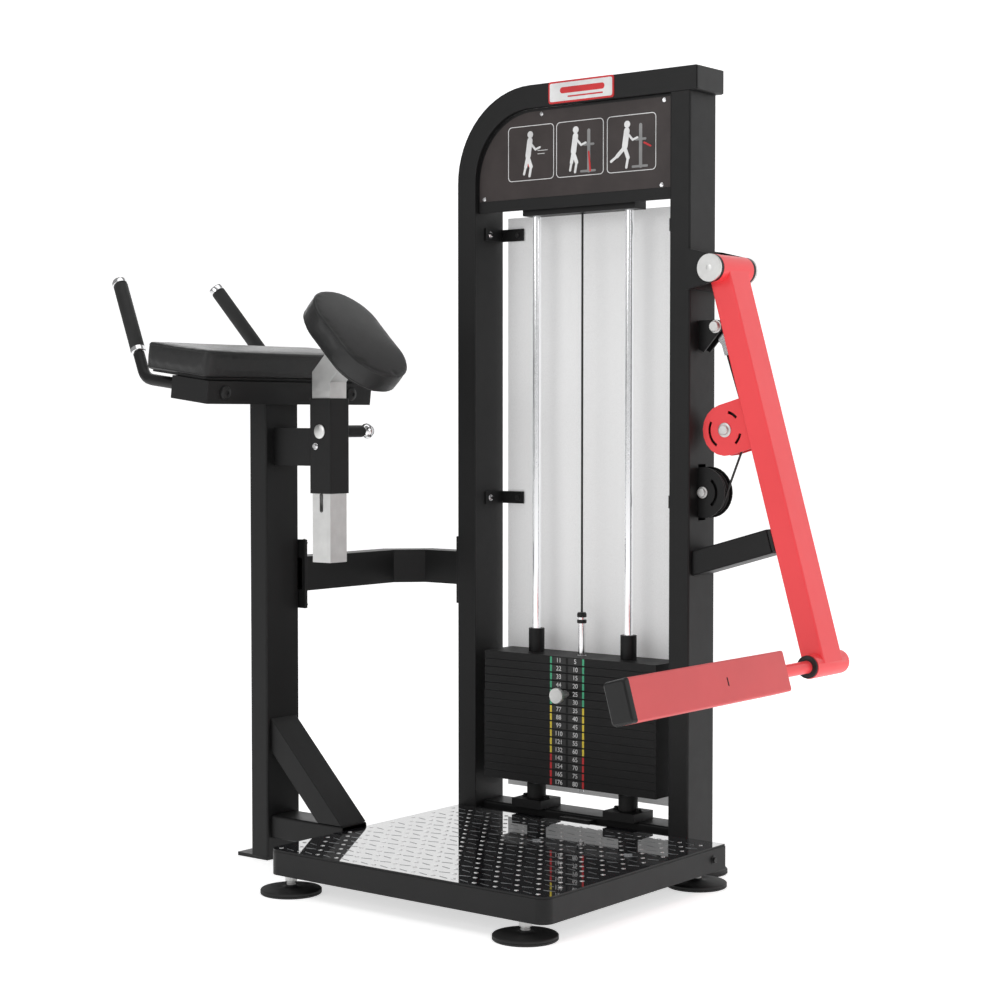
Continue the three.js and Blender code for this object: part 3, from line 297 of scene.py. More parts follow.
def speckled_sheet():
    g = Graph("look_shroud")
    g.color(g.ramp(g.noise(900, 6, 0.75), (0.40, (0.70, 0.70, 0.70)), (0.60, (0.88, 0.88, 0.88))))
    g.rough(g.to_range(g.noise(40, 3), 0.5, 0.62))
    g.bump(g.noise(700, 3), 0.00008, 0.5)
    # The white emission makes the sheet glow: painted light over its speckled grey.
    g.bsdf.inputs["Emission Color"].default_value = (1, 1, 1, 1)
    g.set(Emission_Strength=0.16)
    return g.mat


def tread_material():
    g = Graph("look_tread")
    g.color(g.ramp(g.noise(8, 4), (0.3, (0.012, 0.012, 0.014)), (0.7, (0.022, 0.022, 0.025))))
    g.rough(g.to_range(g.noise(14, 5), 0.02, 0.06))
    g.bump(g.noise(160, 3), 0.00001, 0.2)
    g.set(Specular_IOR_Level=1.0, IOR=2.4, Coat_Weight=1.0, Coat_Roughness=0.02, Coat_IOR=2.2)
    return g.mat


def floor_material():
    g = Graph("look_floor")
    g.color(g.ramp(g.noise(3, 2), (0.3, (0.86, 0.86, 0.86)), (0.7, (0.88, 0.88, 0.88))))
    g.set(Roughness=0.9, Emission_Strength=0.62)
    g.bsdf.inputs["Emission Color"].default_value = (1, 1, 1, 1)
    return g.mat


LOOKS = {}


def make_looks():
    LOOKS.update({
        "black_steel": powder_coat("look_black_steel", (0.009, 0.009, 0.0092), 0.44, specular=0.28),
        "red_steel": powder_coat("look_red_steel", (1.0, 0.066, 0.076), 0.40, coat=0.2, spread=0.04,
                                 specular=0.4),
        "red_pad": powder_coat("look_red_pad", (0.72, 0.085, 0.09), 0.46, grain=0.0001, coat=0.1,
                               spread=0.04),
        "chrome": metal("look_chrome", (0.86, 0.86, 0.87), 0.13),
        "zinc": metal("look_zinc", (0.74, 0.74, 0.73), 0.40, 0.00003),
        "cast_black": moulded("look_cast_black", (0.006, 0.006, 0.0062), 0.5, 0.0001, 420, 0.3),
        "vinyl": vinyl("look_vinyl", (0.0055, 0.0055, 0.0057), 0.36),
        "rubber": moulded("look_rubber", (0.009, 0.009, 0.009), 0.62, 0.0001, 500),
        "grip": moulded("look_grip", (0.011, 0.011, 0.011), 0.62, 0.0002, 300),
        "plastic": moulded("look_plastic", (0.007, 0.007, 0.0072), 0.42, 0.00008, 700, 0.4),
        # The rear sheet: speckled grey with a painted glow from emission.
        "shroud": speckled_sheet(),
        "shroud_back": moulded("look_shroud_back", (0.38, 0.38, 0.385), 0.55, 0.00008, 700),
        "cable": moulded("look_cable", (0.008, 0.008, 0.008), 0.4),
        "tread": tread_material(),
        "placard": moulded("look_placard", (0.046, 0.037, 0.036), 0.36, 0.00003, 700, 0.3),
        "print_white": moulded("look_print_white", (0.78, 0.78, 0.78), 0.5, 0.00002),
        "print_grey": moulded("look_print_grey", (0.25, 0.25, 0.25), 0.5, 0.00002),
        "print_red": moulded("look_print_red", (0.62, 0.02, 0.025), 0.4, 0.00002),
        "print_green": moulded("look_print_green", (0.06, 0.42, 0.22), 0.5, 0.00002),
        "print_yellow": moulded("look_print_yellow", (0.80, 0.62, 0.05), 0.5, 0.00002),
        "stud": metal("look_stud", (0.80, 0.80, 0.80), 0.30),
        "stud_dark": metal("look_stud_dark", (0.36, 0.37, 0.38), 0.30),
        # Guide rods: bright chrome with a painted glow from emission.
        "bright": bright_rod(),
        "satin": metal("look_satin", (0.70, 0.70, 0.69), 0.45),
        "label": moulded("look_label", (0.010, 0.010, 0.010), 0.35, 0.00002),
        # Near-black for the pin holes and the foot pad's slit: painted shade standing in for the dark inside
        # of an opening.
        "hole_shade": moulded("look_hole", (0.002, 0.002, 0.002), 0.8, 0.00002),
    })


# ---------------------------------------------------------------- mesh helpers
def finish_piece(bm, name, look, body, smooth=35, loose=False):
    mesh = bpy.data.meshes.new(name)
    bmesh.ops.recalc_face_normals(bm, faces=bm.faces)
    bm.to_mesh(mesh)
    bm.free()
    mesh.shade_smooth()
    mesh.set_sharp_from_angle(angle=math.radians(smooth))
    mesh.materials.append(LOOKS[look])
    obj = bpy.data.objects.new(name, mesh)
    bpy.context.scene.collection.objects.link(obj)
    if not loose:
        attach(obj, body)
    return obj


def frame_of(axis, up=(0, 0, 1)):
    """A rotation whose local Z is the axis."""
    z = Vector(axis).normalized()
    x = Vector(up).cross(z)
    if x.length < 1e-4:
        x = Vector((0, 1, 0)).cross(z)
    x.normalize()
    return Matrix((x, z.cross(x), z)).transposed().to_4x4()


def lathe_into(bm, profile, where, axis, sides=48):
    """Adds a turned shape; profile is (radius, height) in millimetres along the axis from where."""
    m = Matrix.Translation(where) @ frame_of(axis)
    rings = []
    for r, h in profile:
        if r < 1e-6:
            rings.append([bm.verts.new(m @ Vector((0, 0, h * MM)))])
            continue
        ring = []
        for k in range(sides):
            a = 2 * math.pi * k / sides
            ring.append(bm.verts.new(m @ Vector((r * MM * math.cos(a), r * MM * math.sin(a), h * MM))))
        rings.append(ring)
    for a, b in zip(rings, rings[1:]):
        for k in range(sides):
            j = (k + 1) % sides
            corners = []
            for v in (a[k % len(a)], a[j % len(a)], b[j % len(b)], b[k % len(b)]):
                if v not in corners:
                    corners.append(v)
            if len(corners) > 2:
                bm.faces.new(corners)


def lathe(name, profile, where, axis, look, body, sides=48, smooth=35):
    bm = bmesh.new()
    lathe_into(bm, profile, where, axis, sides)
    return finish_piece(bm, name, look, body, smooth)


def slab_into(bm, outline, where, axis_u, axis_v, thick, bevel=0.0):
    """Adds a flat plate: outline in millimetres along two directions, thickness along their normal."""
    u, v = Vector(axis_u).normalized(), Vector(axis_v).normalized()
    n = u.cross(v)
    low = [bm.verts.new(where + u * (a * MM) + v * (b * MM)) for a, b in outline]
    high = [bm.verts.new(p.co + n * (thick * MM)) for p in low]
    count = len(outline)
    bm.faces.new(list(reversed(low)))
    top = bm.faces.new(high)
    for k in range(count):
        j = (k + 1) % count
        bm.faces.new((low[k], low[j], high[j], high[k]))
    if bevel:
        bmesh.ops.bevel(bm, geom=list(top.edges), offset=bevel * MM, segments=2, affect="EDGES")


def rounded(w, h, r, steps=4):
    """The outline of a rectangle with rounded corners, about its middle."""
    points = []
    dx, dy = w / 2 - r, h / 2 - r
    for cx, cy, start in ((dx, dy, 0), (-dx, dy, 90), (-dx, -dy, 180), (dx, -dy, 270)):
        for i in range(steps + 1):
            a = math.radians(start + 90 * i / steps)
            points.append((cx + r * math.cos(a), cy + r * math.sin(a)))
    return points


def slab(name, outline, where, axis_u, axis_v, thick, look, body, bevel=0.4):
    bm = bmesh.new()
    slab_into(bm, outline, where, axis_u, axis_v, thick, bevel)
    return finish_piece(bm, name, look, body)


def bolt_into(bm, where, axis, size=8.0, head=5.0):
    """A hexagon head with a chamfered top, standing on a washer."""
    base = 1.5
    rim = [(0, 0), (size * 1.35, 0), (size * 1.35, 1.2), (size * 1.25, base), (0, base)]
    lathe_into(bm, rim, where, axis, 32)
    top = base + head
    hexagon = [(0, base), (size, base), (size, base + head * 0.8), (size * 0.86, top), (0, top)]
    lathe_into(bm, hexagon, where, axis, 6)


def bolts(name, places, look, body, size=8.0, head=5.0):
    bm = bmesh.new()
    for where, axis in places:
        bolt_into(bm, where, axis, size, head)
    return finish_piece(bm, name, look, body, smooth=25)


def refined(node, look, bevel=1.2, segments=2, angle=35, smooth=40):
    """The CAD node's own shape with rounded edges and smooth curves, shown in its place."""
    bm = bmesh.new()
    bm.from_mesh(NODES[node].data)
    bmesh.ops.remove_doubles(bm, verts=bm.verts, dist=2e-6)
    bmesh.ops.dissolve_limit(bm, angle_limit=math.radians(0.6), verts=bm.verts, edges=bm.edges)
    sharp = [e for e in bm.edges if len(e.link_faces) == 2 and e.calc_face_angle(0) > math.radians(angle)]
    if bevel and sharp:
        bmesh.ops.bevel(bm, geom=sharp, offset=bevel * MM, segments=segments, affect="EDGES",
                        clamp_overlap=True, profile=0.5)
    obj = finish_piece(bm, "look_" + node, look, BODY_OF[node], smooth)
    flat = obj.modifiers.new("normals", "WEIGHTED_NORMAL")
    flat.keep_sharp = True
    flat.weight = 100
    obj.data = bpy.data.meshes.new_from_object(obj.evaluated_get(bpy.context.evaluated_depsgraph_get()))
    obj.modifiers.clear()
    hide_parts(node)
    return obj


# ---------------------------------------------------------------- steel frame
def steelwork():
    black = [n for n, s in SLOT_OF.items() if s == "black_steel"]
    for node in black:
        tube = node.startswith(("tower", "elbow", "post", "cross", "platform", "stop", "base"))
        width = 1.6 if tube else 0.8
        refined(node, "black_steel", 0.5 if node == "header_panel" else width)
    for node in ("swing_arm", "arm_pulley_housing", "foot_pad_shaft"):
        refined(node, "red_steel", 1.6 if node == "swing_arm" else 0.6)
    for node in ("selector_stem", "cable_end_fitting"):
        refined(node, "chrome", 0.8)
    refined("pivot_axle", "satin", 0.8)
    refined("chest_pad_mast", "zinc", 1.5)
    for node in ("header_pulley_centre", "header_pulley_right", "lower_pulley", "arm_pulley", "beam_end_cap"):
        refined(node, "plastic", 0.6)
    refined("stop_bumper", "rubber", 1.5)
    sheet = refined("rear_shroud", "shroud", 0.4)
    # Faces turned to the back get a darker grey; the rest keep the lighter sheet, whose glow is painted
    # light.
    sheet.data.materials.append(LOOKS["shroud_back"])
    for face in sheet.data.polygons:
        face.material_index = 1 if face.normal.y > 0.5 else 0
    for node in ("bumper_left", "bumper_right"):
        refined(node, "rubber", 1.5)
    plate = refined("tread_plate", "tread", 0)
    plate.data.materials.append(LOOKS["black_steel"])
    for face in plate.data.polygons:
        face.material_index = 0 if face.normal.z > 0.9 else 1
    refined("header_cable", "cable", 0)


def weight_stack():
    lifted = [f"weight_plate_{n:02d}" for n in range(2, PLATES_LIFTED + 1)]
    for node in ["head_plate", *lifted, "resting_plates"]:
        refined(node, "cast_black", 0.9)


# ---------------------------------------------------------------- soft pads
def pad_shell(bm, outline, thick, crown, round_edge, place):
    """A closed pad: flat back, sides that bulge a little, a rounded rim and a crowned front."""
    rings = []
    levels = [(0.0, 3.0), (2.0, 0.6), (thick * 0.45, 0.0), (thick - round_edge, 0.4)]
    for i in range(1, 6):
        a = math.pi / 2 * i / 5
        levels.append((thick - round_edge + round_edge * math.sin(a), 0.4 + round_edge * (1 - math.cos(a))))
    for height, inset in levels:
        ring = []
        for x, y in outline:
            out = Vector((x, y, 0)).normalized()
            ring.append(bm.verts.new(place @ (Vector((x, y, height)) - out * inset)))
        rings.append(ring)
    for a, b in zip(rings, rings[1:]):
        for k in range(len(outline)):
            j = (k + 1) % len(outline)
            bm.faces.new((a[k], a[j], b[j], b[k]))
    bm.faces.new(list(reversed(rings[0])))
    inner = rings[-1]
    for step in range(1, 7):
        f = 1 - step / 7
        ring = []
        for x, y in outline:
            out = Vector((x, y, 0)).normalized()
            p = Vector((x, y, 0)) - out * (0.4 + round_edge)
            ring.append(bm.verts.new(place @ Vector((p.x * f, p.y * f, thick + crown * (1 - f * f)))))
        for k in range(len(outline)):
            j = (k + 1) % len(outline)
            bm.faces.new((inner[k], inner[j], ring[j], ring[k]))
        inner = ring
    bm.faces.new(inner)


def puff(obj, voxel, pressure, cap):
    """Swells a closed pad with a short cloth simulation, with each point's travel capped."""
    scene = bpy.context.scene
    bpy.context.view_layer.objects.active = obj
    obj.data.remesh_voxel_size = voxel * MM
    bpy.ops.object.select_all(action="DESELECT")
    obj.select_set(True)
    bpy.ops.object.voxel_remesh()
    before = [v.co.copy() for v in obj.data.vertices]
    cloth = obj.modifiers.new("cloth", "CLOTH")
    cloth.settings.use_pressure = True
    cloth.settings.uniform_pressure_force = pressure
    cloth.settings.effector_weights.gravity = 0
    cloth.settings.tension_stiffness = 40
    cloth.settings.compression_stiffness = 40
    cloth.settings.bending_stiffness = 6
    cloth.collision_settings.use_collision = False
    cloth.point_cache.frame_start = 1
    cloth.point_cache.frame_end = 20
    for step in range(1, 21):
        scene.frame_set(step)
    puffed = obj.evaluated_get(bpy.context.evaluated_depsgraph_get()).to_mesh()
    after = [v.co.copy() for v in puffed.vertices]
    obj.modifiers.clear()
    for vertex, old, new in zip(obj.data.vertices, before, after):
        move = new - old
        if move.length > cap * MM:
            move *= cap * MM / move.length
        vertex.co = old + move
    scene.frame_set(1)
    smooth = obj.modifiers.new("smooth", "SMOOTH")
    smooth.factor = 0.5
    smooth.iterations = 3
    sub = obj.modifiers.new("sub", "SUBSURF")
    sub.levels = sub.render_levels = 1
    mesh = bpy.data.meshes.new_from_object(obj.evaluated_get(bpy.context.evaluated_depsgraph_get()))
    obj.modifiers.clear()
    obj.data = mesh
    mesh.shade_smooth()


def cord_ring(name, outline, place, height, inset, body, pad, radius=1.1):
    """The piped seam that runs round a pad."""
    curve = bpy.data.curves.new(name, "CURVE")
    curve.dimensions = "3D"
    curve.bevel_depth = radius * MM
    curve.bevel_resolution = 2
    spline = curve.splines.new("POLY")
    spline.points.add(len(outline) - 1)
    spline.use_cyclic_u = True
    for point, (x, y) in zip(spline.points, outline):
        out = Vector((x, y, 0)).normalized()
        spot = place @ (Vector((x, y, height)) - out * inset)
        hit, near, _, _ = pad.closest_point_on_mesh(spot)
        point.co = (*(near if hit else spot), 1)
    obj = bpy.data.objects.new(name, curve)
    bpy.context.scene.collection.objects.link(obj)
    mesh = bpy.data.meshes.new_from_object(obj.evaluated_get(bpy.context.evaluated_depsgraph_get()))
    bpy.data.objects.remove(obj)
    seam = bpy.data.objects.new(name, mesh)
    bpy.context.scene.collection.objects.link(seam)
    mesh.materials.clear()
    mesh.materials.append(LOOKS["vinyl"])
    mesh.shade_smooth()
    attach(seam, body)


def cushion(name, node, outline, thick, crown, edge, place, body):
    bm = bmesh.new()
    pad_shell(bm, outline, thick, crown, edge, place)
    obj = finish_piece(bm, name, "vinyl", body, smooth=60, loose=True)
    puff(obj, 4.0, 3.0, 1.4)
    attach(obj, body)
    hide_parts(node)
    return obj


def pads():
    # Chest pad: its back sits on the mast's plate, tilted 45 degrees.
    mm = Matrix.Scale(MM, 4)
    back = at(MAST_X, MAST_Y, 1042) + Vector((1, 0, 1)).normalized() * (75.5 * MM)
    chest = Matrix.Translation(back) @ Matrix.Rotation(math.radians(45), 4, "Y") @ mm
    oval = rounded(260, 178, 87, 12)
    slab("chest_pad_board", rounded(240, 158, 77, 10), back, (1, 0, -1), (0, 1, 0), 5, "plastic",
         "chest_pad_body", 0.8)
    lifted = chest @ Matrix.Translation((0, 0, 4))
    soft = cushion("chest_cushion", "chest_pad", oval, 50, 3, 6, lifted, "chest_pad_body")
    cord_ring("chest_seam_front", oval, lifted, 46, -0.6, "chest_pad_body", soft)
    cord_ring("chest_seam_back", oval, lifted, 4, -0.4, "chest_pad_body", soft)
    # Forearm pad on its board, tipped seven degrees with the tray.
    tray = at(*REST_ORIGIN)
    rest = Matrix.Translation(tray) @ Matrix.Rotation(PAD_TILT, 4, "Y") @ mm
    shift = FOREARM_PAD_X - REST_ORIGIN[0]
    flat = rest @ Matrix.Translation((shift, 0, 48.5))
    board = bmesh.new()
    slab_into(board, rounded(172, 486, 14, 5), flat.to_translation(), rest.to_3x3() @ Vector((1, 0, 0)),
              rest.to_3x3() @ Vector((0, 1, 0)), 6, 0.8)
    finish_piece(board, "forearm_pad_board", "plastic", "frame")
    pad = flat @ Matrix.Translation((0, 0, 4.5))
    box = rounded(187, 502, 9, 5)
    soft = cushion("forearm_cushion", "forearm_pad", box, 56, 2, 5, pad, "frame")
    cord_ring("forearm_seam_top", box, pad, 52, -0.6, "frame", soft)
    cord_ring("forearm_seam_low", box, pad, 4, -0.4, "frame", soft)


def foot_roller():
    """The red foot pad: a rounded bar with a black bevelled cap, and a thin near-black strip on its outer
    face painted as the shade of a slit.
    """
    along = Vector((math.sin(REST), 0, -math.cos(REST)))
    out = Vector((math.cos(REST), 0, math.sin(REST)))
    axis_x, axis_z = down_arm(ARM_LENGTH)
    centre = at(axis_x, -651, axis_z)
    bm = bmesh.new()
    slab_into(bm, rounded(49.6, 79.6, 5, 5), centre, out, -along, -518.5)
    edges = [e for e in bm.edges if e.calc_face_angle(0) > 1]
    bmesh.ops.bevel(bm, geom=edges, offset=1.5 * MM, segments=3, affect="EDGES")
    pad = finish_piece(bm, "foot_pad_cover", "red_pad", "foot_pad_body", smooth=40)
    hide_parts("foot_pad")
    bm = bmesh.new()
    rings = []
    for y, shrink in ((-651, 0), (-653, 0), (-661, 2), (-663.6, 5)):
        ring = rounded(50 - 2 * shrink, 80 - 2 * shrink, 5, 5)
        hub = at(axis_x, y, axis_z)
        rings.append([bm.verts.new(hub + out * (a * MM) - along * (b * MM)) for a, b in ring])
    for a, b in zip(rings, rings[1:]):
        for k in range(len(a)):
            j = (k + 1) % len(a)
            bm.faces.new((a[k], a[j], b[j], b[k]))
    bm.faces.new(rings[0])
    bm.faces.new(rings[-1])
    finish_piece(bm, "foot_pad_end_cap", "plastic", "foot_pad_body", smooth=30)
    # The slit is a thin near-black strip laid on the face: painted shade, not a cut.
    face = at(axis_x, -345, axis_z) + out * (24.9 * MM)
    slit_shade = rounded(3.2, 17, 1.5, 3)
    slab("foot_pad_slit_shade", slit_shade, face, (0, 1, 0), -along, 0.4, "hole_shade", "foot_pad_body", 0.1)


# ---------------------------------------------------------------- tower details
def placard():
    """Graphics on the header: three framed pictograms with plain stick figures, and screws."""
    sheet = [(-559, 1432), (-54, 1432), (-54, 1618), (-405, 1618)]
    for degrees in range(95, 181, 5):
        a = math.radians(degrees)
        sheet.append((-409 + 150 * math.cos(a), 1468 + 150 * math.sin(a)))
    plate = bmesh.new()
    slab_into(plate, sheet, at(0, 11.9, 0), (1, 0, 0), (0, 0, 1), 0.8, 0.2)
    finish_piece(plate, "placard_sheet", "placard", "frame")
    y = 11.1
    layer = 0
    white = bmesh.new()
    grey = bmesh.new()
    red = bmesh.new()

    def bar(bm, x0, z0, x1, z1, width, depth=0.35):
        """A stroke from one point to another; each is a hair thicker than the last, so none coincide."""
        nonlocal layer
        a, b = Vector((x0, z0)), Vector((x1, z1))
        d = b - a
        length = d.length
        d.normalize()
        u = Vector((d.x, 0, d.y))
        v = Vector((-d.y, 0, d.x))
        mid = (a + b) / 2
        layer = (layer + 1) % 40
        shape = rounded(length + width, width, width * 0.48, 3)
        slab_into(bm, shape, at(mid.x, y, mid.y), u, v, depth + layer * 0.01)

    def disc(bm, x, z, r, depth=0.35):
        turns = [k * math.pi / 10 for k in range(20)]
        circle = [(r * math.cos(a), r * math.sin(a)) for a in turns]
        slab_into(bm, circle, at(x, y, z), (1, 0, 0), (0, 0, 1), depth + 0.45)

    def outline_box(x0, x1, z0, z1):
        r = 9
        line = 1.5
        sides = [(x0 + r, z0, x1 - r, z0), (x0 + r, z1, x1 - r, z1)]
        sides += [(x0, z0 + r, x0, z1 - r), (x1, z0 + r, x1, z1 - r)]
        for a, b, c, d in sides:
            bar(white, a, b, c, d, line)
        corners = [(x1 - r, z1 - r, 0), (x0 + r, z1 - r, 90), (x0 + r, z0 + r, 180), (x1 - r, z0 + r, 270)]
        for cx, cz, start in corners:
            turns = [math.radians(start + 18 * i) for i in range(6)]
            pts = [(cx + r * math.cos(a), cz + r * math.sin(a)) for a in turns]
            for p, q in zip(pts, pts[1:]):
                bar(white, *p, *q, line)

    frames = ((-478, -355), (-347, -224), (-214, -91))
    for x0, x1 in frames:
        outline_box(x0, x1, 1471, 1588)

    def figure(bm, cx, leg_back):
        disc(bm, cx, 1569, 7.5)
        bar(bm, cx - 1, 1556, cx - 6, 1524, 14)
        bar(bm, cx - 6, 1520, cx + 2, 1500, 9)
        bar(bm, cx + 2, 1500, cx - 2, 1480, 6)
        bar(bm, cx - 1, 1552, cx + 14, 1536, 5)
        bar(bm, cx + 14, 1536, cx + 26, 1540, 4.5)
        bar(bm, cx - 7, 1521, cx - 7 - leg_back * 0.55, 1521 - 22 + leg_back * 0.16, 8.5)
        knee_x, knee_z = cx - 7 - leg_back * 0.55, 1499 + leg_back * 0.16
        bar(bm, knee_x, knee_z, cx - 7 - leg_back, 1481 + leg_back * 0.4, 5.5)

    figure(white, -418, 10)
    bar(red, -425, 1520, -420, 1504, 9.5, 0.5)
    bar(white, -398, 1533, -372, 1533, 1.2)
    bar(white, -398, 1526, -380, 1526, 1.2)
    for cx, leg in ((-296, 8), (-163, 34)):
        bar(grey, cx + 34, 1480, cx + 34, 1565, 8)
        bar(grey, cx + 14, 1480, cx + 50, 1480, 5)
        bar(grey, cx + 22, 1536, cx + 46, 1536, 5)
        figure(white, cx, leg)
    bar(red, -282 + 24, 1480, -268 + 6, 1520, 4, 0.5)
    bar(red, -120, 1528, -104, 1520, 4, 0.5)
    finish_piece(white, "placard_white", "print_white", "frame")
    finish_piece(grey, "placard_grey", "print_grey", "frame")
    finish_piece(red, "placard_red", "print_red", "frame")
    corners = ((-545, 1437), (-387, 1611), (-70, 1611), (-76, 1437))
    screws = [(at(x, 11, z), (0, -1, 0)) for x, z in corners]
    bolts("placard_screws", screws, "chrome", "frame", 3.4, 2.2)
    # The badge on the beam: a pale face with a red border, one red bar and a thin red line.
    badge = at(-274.5, 0, 1650.5)
    across, up = (1, 0, 0), (0, 0, 1)
    slab("badge_plate", rounded(171, 47, 6), badge, across, up, 1.6, "print_red", "frame", 0.5)
    front = badge + Vector((0, -1.6 * MM, 0))
    slab("badge_face", rounded(163, 39, 4), front, across, up, 0.4, "print_white", "frame", 0.1)
    front = front + Vector((0, -0.4 * MM, 0))
    marks = (("badge_bar", 4, 3, rounded(116, 13, 6)), ("badge_line", 12, -11, rounded(92, 3, 1.4)))
    for name, x, z, shape in marks:
        place = front + Vector((x, 0, z)) * MM
        slab(name, shape, place, across, up, 0.4, "print_red", "frame", 0.1)


def plate_labels():
    """Weight markings: two columns of plain numbers, two colour bars, and the row of pin holes, each painted
    as a near-black disc of shade.
    """
    y = -2.0
    labels, bars, holes = {}, {}, {}
    for n in range(1, PLATE_COUNT + 1):
        body = "lifted_stack" if n <= PLATES_LIFTED else "frame"
        z = plate_middle(n)
        labels.setdefault(body, []).append(z)
        tone = "print_green" if n <= 6 else "print_yellow" if n <= 12 else "print_red"
        bars.setdefault((body, tone), []).append(z)
        holes.setdefault(body, []).append((n, z))
    for body, heights in labels.items():
        bm = bmesh.new()
        for z in heights:
            for x in (-329.5, -286.5):
                slab_into(bm, rounded(37, 14, 1.0, 2), at(x, y, z), (1, 0, 0), (0, 0, 1), 0.25)
        finish_piece(bm, "labels_" + body, "label", body)
    for (body, tone), heights in bars.items():
        bm = bmesh.new()
        for z in heights:
            for x in (-351, -265):
                slab_into(bm, rounded(5, 14.4, 0.5, 2), at(x, y, z), (1, 0, 0), (0, 0, 1), 0.35)
        finish_piece(bm, f"bars_{tone}_{body}", tone, body)
    for body, rows in holes.items():
        # Each pin hole is a thin near-black disc on the plate's face: painted shade, not an opening.
        hole_shade_discs = bmesh.new()
        for n, z in rows:
            if n == PLATES_LIFTED:
                continue
            ring = [(0, 0), (5.6, 0), (5.6, 0.25), (0, 0.25)]
            lathe_into(hole_shade_discs, ring, at(MID_X, y + 0.02, z), (0, -1, 0), 20)
        finish_piece(hole_shade_discs, "pin_hole_shades_" + body, "hole_shade", body)
        digits = []
        for n, z in rows:
            for x, value in ((-330, n * 11), (-286, n * 5)):
                curve = bpy.data.curves.new("digits", "FONT")
                curve.body = str(value)
                curve.size = 14 * MM
                curve.align_x = "CENTER"
                curve.align_y = "CENTER"
                curve.extrude = 0.12 * MM
                text = bpy.data.objects.new("digits", curve)
                upright = Matrix.Rotation(math.pi / 2, 4, "X")
                text.matrix_world = Matrix.Translation(at(x, y - 0.36, z)) @ upright
                bpy.context.scene.collection.objects.link(text)
                bpy.context.view_layer.update()
                solid = text.evaluated_get(bpy.context.evaluated_depsgraph_get())
                mesh = bpy.data.meshes.new_from_object(solid)
                mesh.transform(text.matrix_world)
                digits.append(mesh)
                bpy.data.objects.remove(text)
        bm = bmesh.new()
        for mesh in digits:
            bm.from_mesh(mesh)
        finish_piece(bm, "numbers_" + body, "print_white", body)


def selector_knob():
    """The pin's round head, with a dished face and a short grip behind it."""
    z = plate_middle(PLATES_LIFTED)
    head = [(0, 0), (12, 0.4), (16, -0.2), (17, 1.2), (17, 8.6), (16, 9.8), (9, 10), (8.4, 11), (8, 36)]
    head += [(7, 36.4), (4.5, 36.4), (4.5, 107.8), (0, 108)]
    lathe("selector_knob", head, at(MID_X, -46, z), (0, 1, 0), "satin", "selector_pin_body", 40)
    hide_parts("selector_pin")


def shroud_clips():
    """Four bent strips that hold the rear sheet to the uprights, each with a bolt."""
    bm = bmesh.new()
    heads = []
    bright = []
    for z in (1363, 777):
        for side in (-1, 1):
            inner = MID_X + side * 256.3
            toward = -side
            pts = [(inner, 34), (inner + toward * 3, 34), (inner + toward * 3, 94), (inner + toward * 62, 94),
                   (inner + toward * 62, 97), (inner, 97)]
            slab_into(bm, pts, at(0, 0, z - 13), (1, 0, 0), (0, 1, 0), 27, 0.4)
            bright.append((at(inner + toward * 3, 50, z), (toward, 0, 0)))
            heads.append((at(inner + toward * 48, 94, z), (0, -1, 0)))
    finish_piece(bm, "shroud_clips", "black_steel", "frame")
    bolts("shroud_clip_bolts", heads, "plastic", "frame", 6, 4)
    bolts("shroud_clip_screws", bright, "chrome", "frame", 5, 3.4)


def cables():
    """Cable runs at rest: the vertical one, and the two by the arm, each a straight rod.

    A closed ring stands for the cable in the groove of each of the two lower pulleys.
    """
    pulley_c = down_arm(ARM_PULLEY_ALONG, ARM_PULLEY_OUT)
    low_c = LOWER_PULLEY
    bm = bmesh.new()
    height = 1019.4
    rod = [(0, 0), (CABLE_RADIUS, 0), (CABLE_RADIUS, height), (0, height)]
    lathe_into(bm, rod, at(MID_X, MID_Y, 533.5), (0, 0, 1), 12)
    run = finish_piece(bm, "stack_cable_run", "cable", "frame")
    # The stack rises 461.5 mm, and the run is 1019.7 mm long at rest.
    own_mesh(run)
    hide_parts("stack_cable")
    dx, dz = pulley_c[0] - CABLE_ANCHOR[0], pulley_c[1] - CABLE_ANCHOR[1]
    far = math.hypot(dx, dz)
    angle = math.atan2(dx, -dz) + math.asin(TRACK_RADIUS / far)
    length = math.sqrt(far * far - TRACK_RADIUS ** 2)
    way = (math.sin(angle), -math.cos(angle))

    def upper(d):
        return at(CABLE_ANCHOR[0] + way[0] * d, MID_Y, CABLE_ANCHOR[1] + way[1] * d)

    def strand(name, a, b, first, second, *nodes):
        bm = bmesh.new()
        span = (b - a).length / MM
        rod = [(0, 0), (CABLE_RADIUS, 0), (CABLE_RADIUS, span), (0, span)]
        lathe_into(bm, rod, a, b - a, 12)
        run = finish_piece(bm, name, "cable", first, loose=True)
        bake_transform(run)
        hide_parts(*nodes)

    strand("arm_cable_upper_run", upper(61), upper(length), "cable_end_body", "upper_run_body",
           "arm_cable_upper")
    t = math.atan2(pulley_c[0] - low_c[0], pulley_c[1] - low_c[1])
    side = (TRACK_RADIUS * math.cos(t), -TRACK_RADIUS * math.sin(t))
    low = at(low_c[0] + side[0], MID_Y, low_c[1] + side[1])
    high = at(pulley_c[0] + side[0], MID_Y, pulley_c[1] + side[1])
    strand("arm_cable_lower_run", low, high, "lower_run_near_body", "lower_run_far_body",
           "arm_cable_lower_near", "arm_cable_lower_far")
    wraps = [("arm_pulley_wrap", pulley_c, "arm_pulley_body")]
    wraps.append(("lower_pulley_wrap", low_c, "lower_pulley_body"))
    for name, c, body in wraps:
        bm = bmesh.new()
        turns = [k * math.pi / 5 for k in range(11)]
        circle = [(TRACK_RADIUS + CABLE_RADIUS * math.cos(a), CABLE_RADIUS * math.sin(a)) for a in turns]
        lathe_into(bm, circle, at(c[0], MID_Y, c[1]), (0, 1, 0), 64)
        bmesh.ops.remove_doubles(bm, verts=bm.verts, dist=1e-7)
        finish_piece(bm, name, "cable", body, smooth=80)


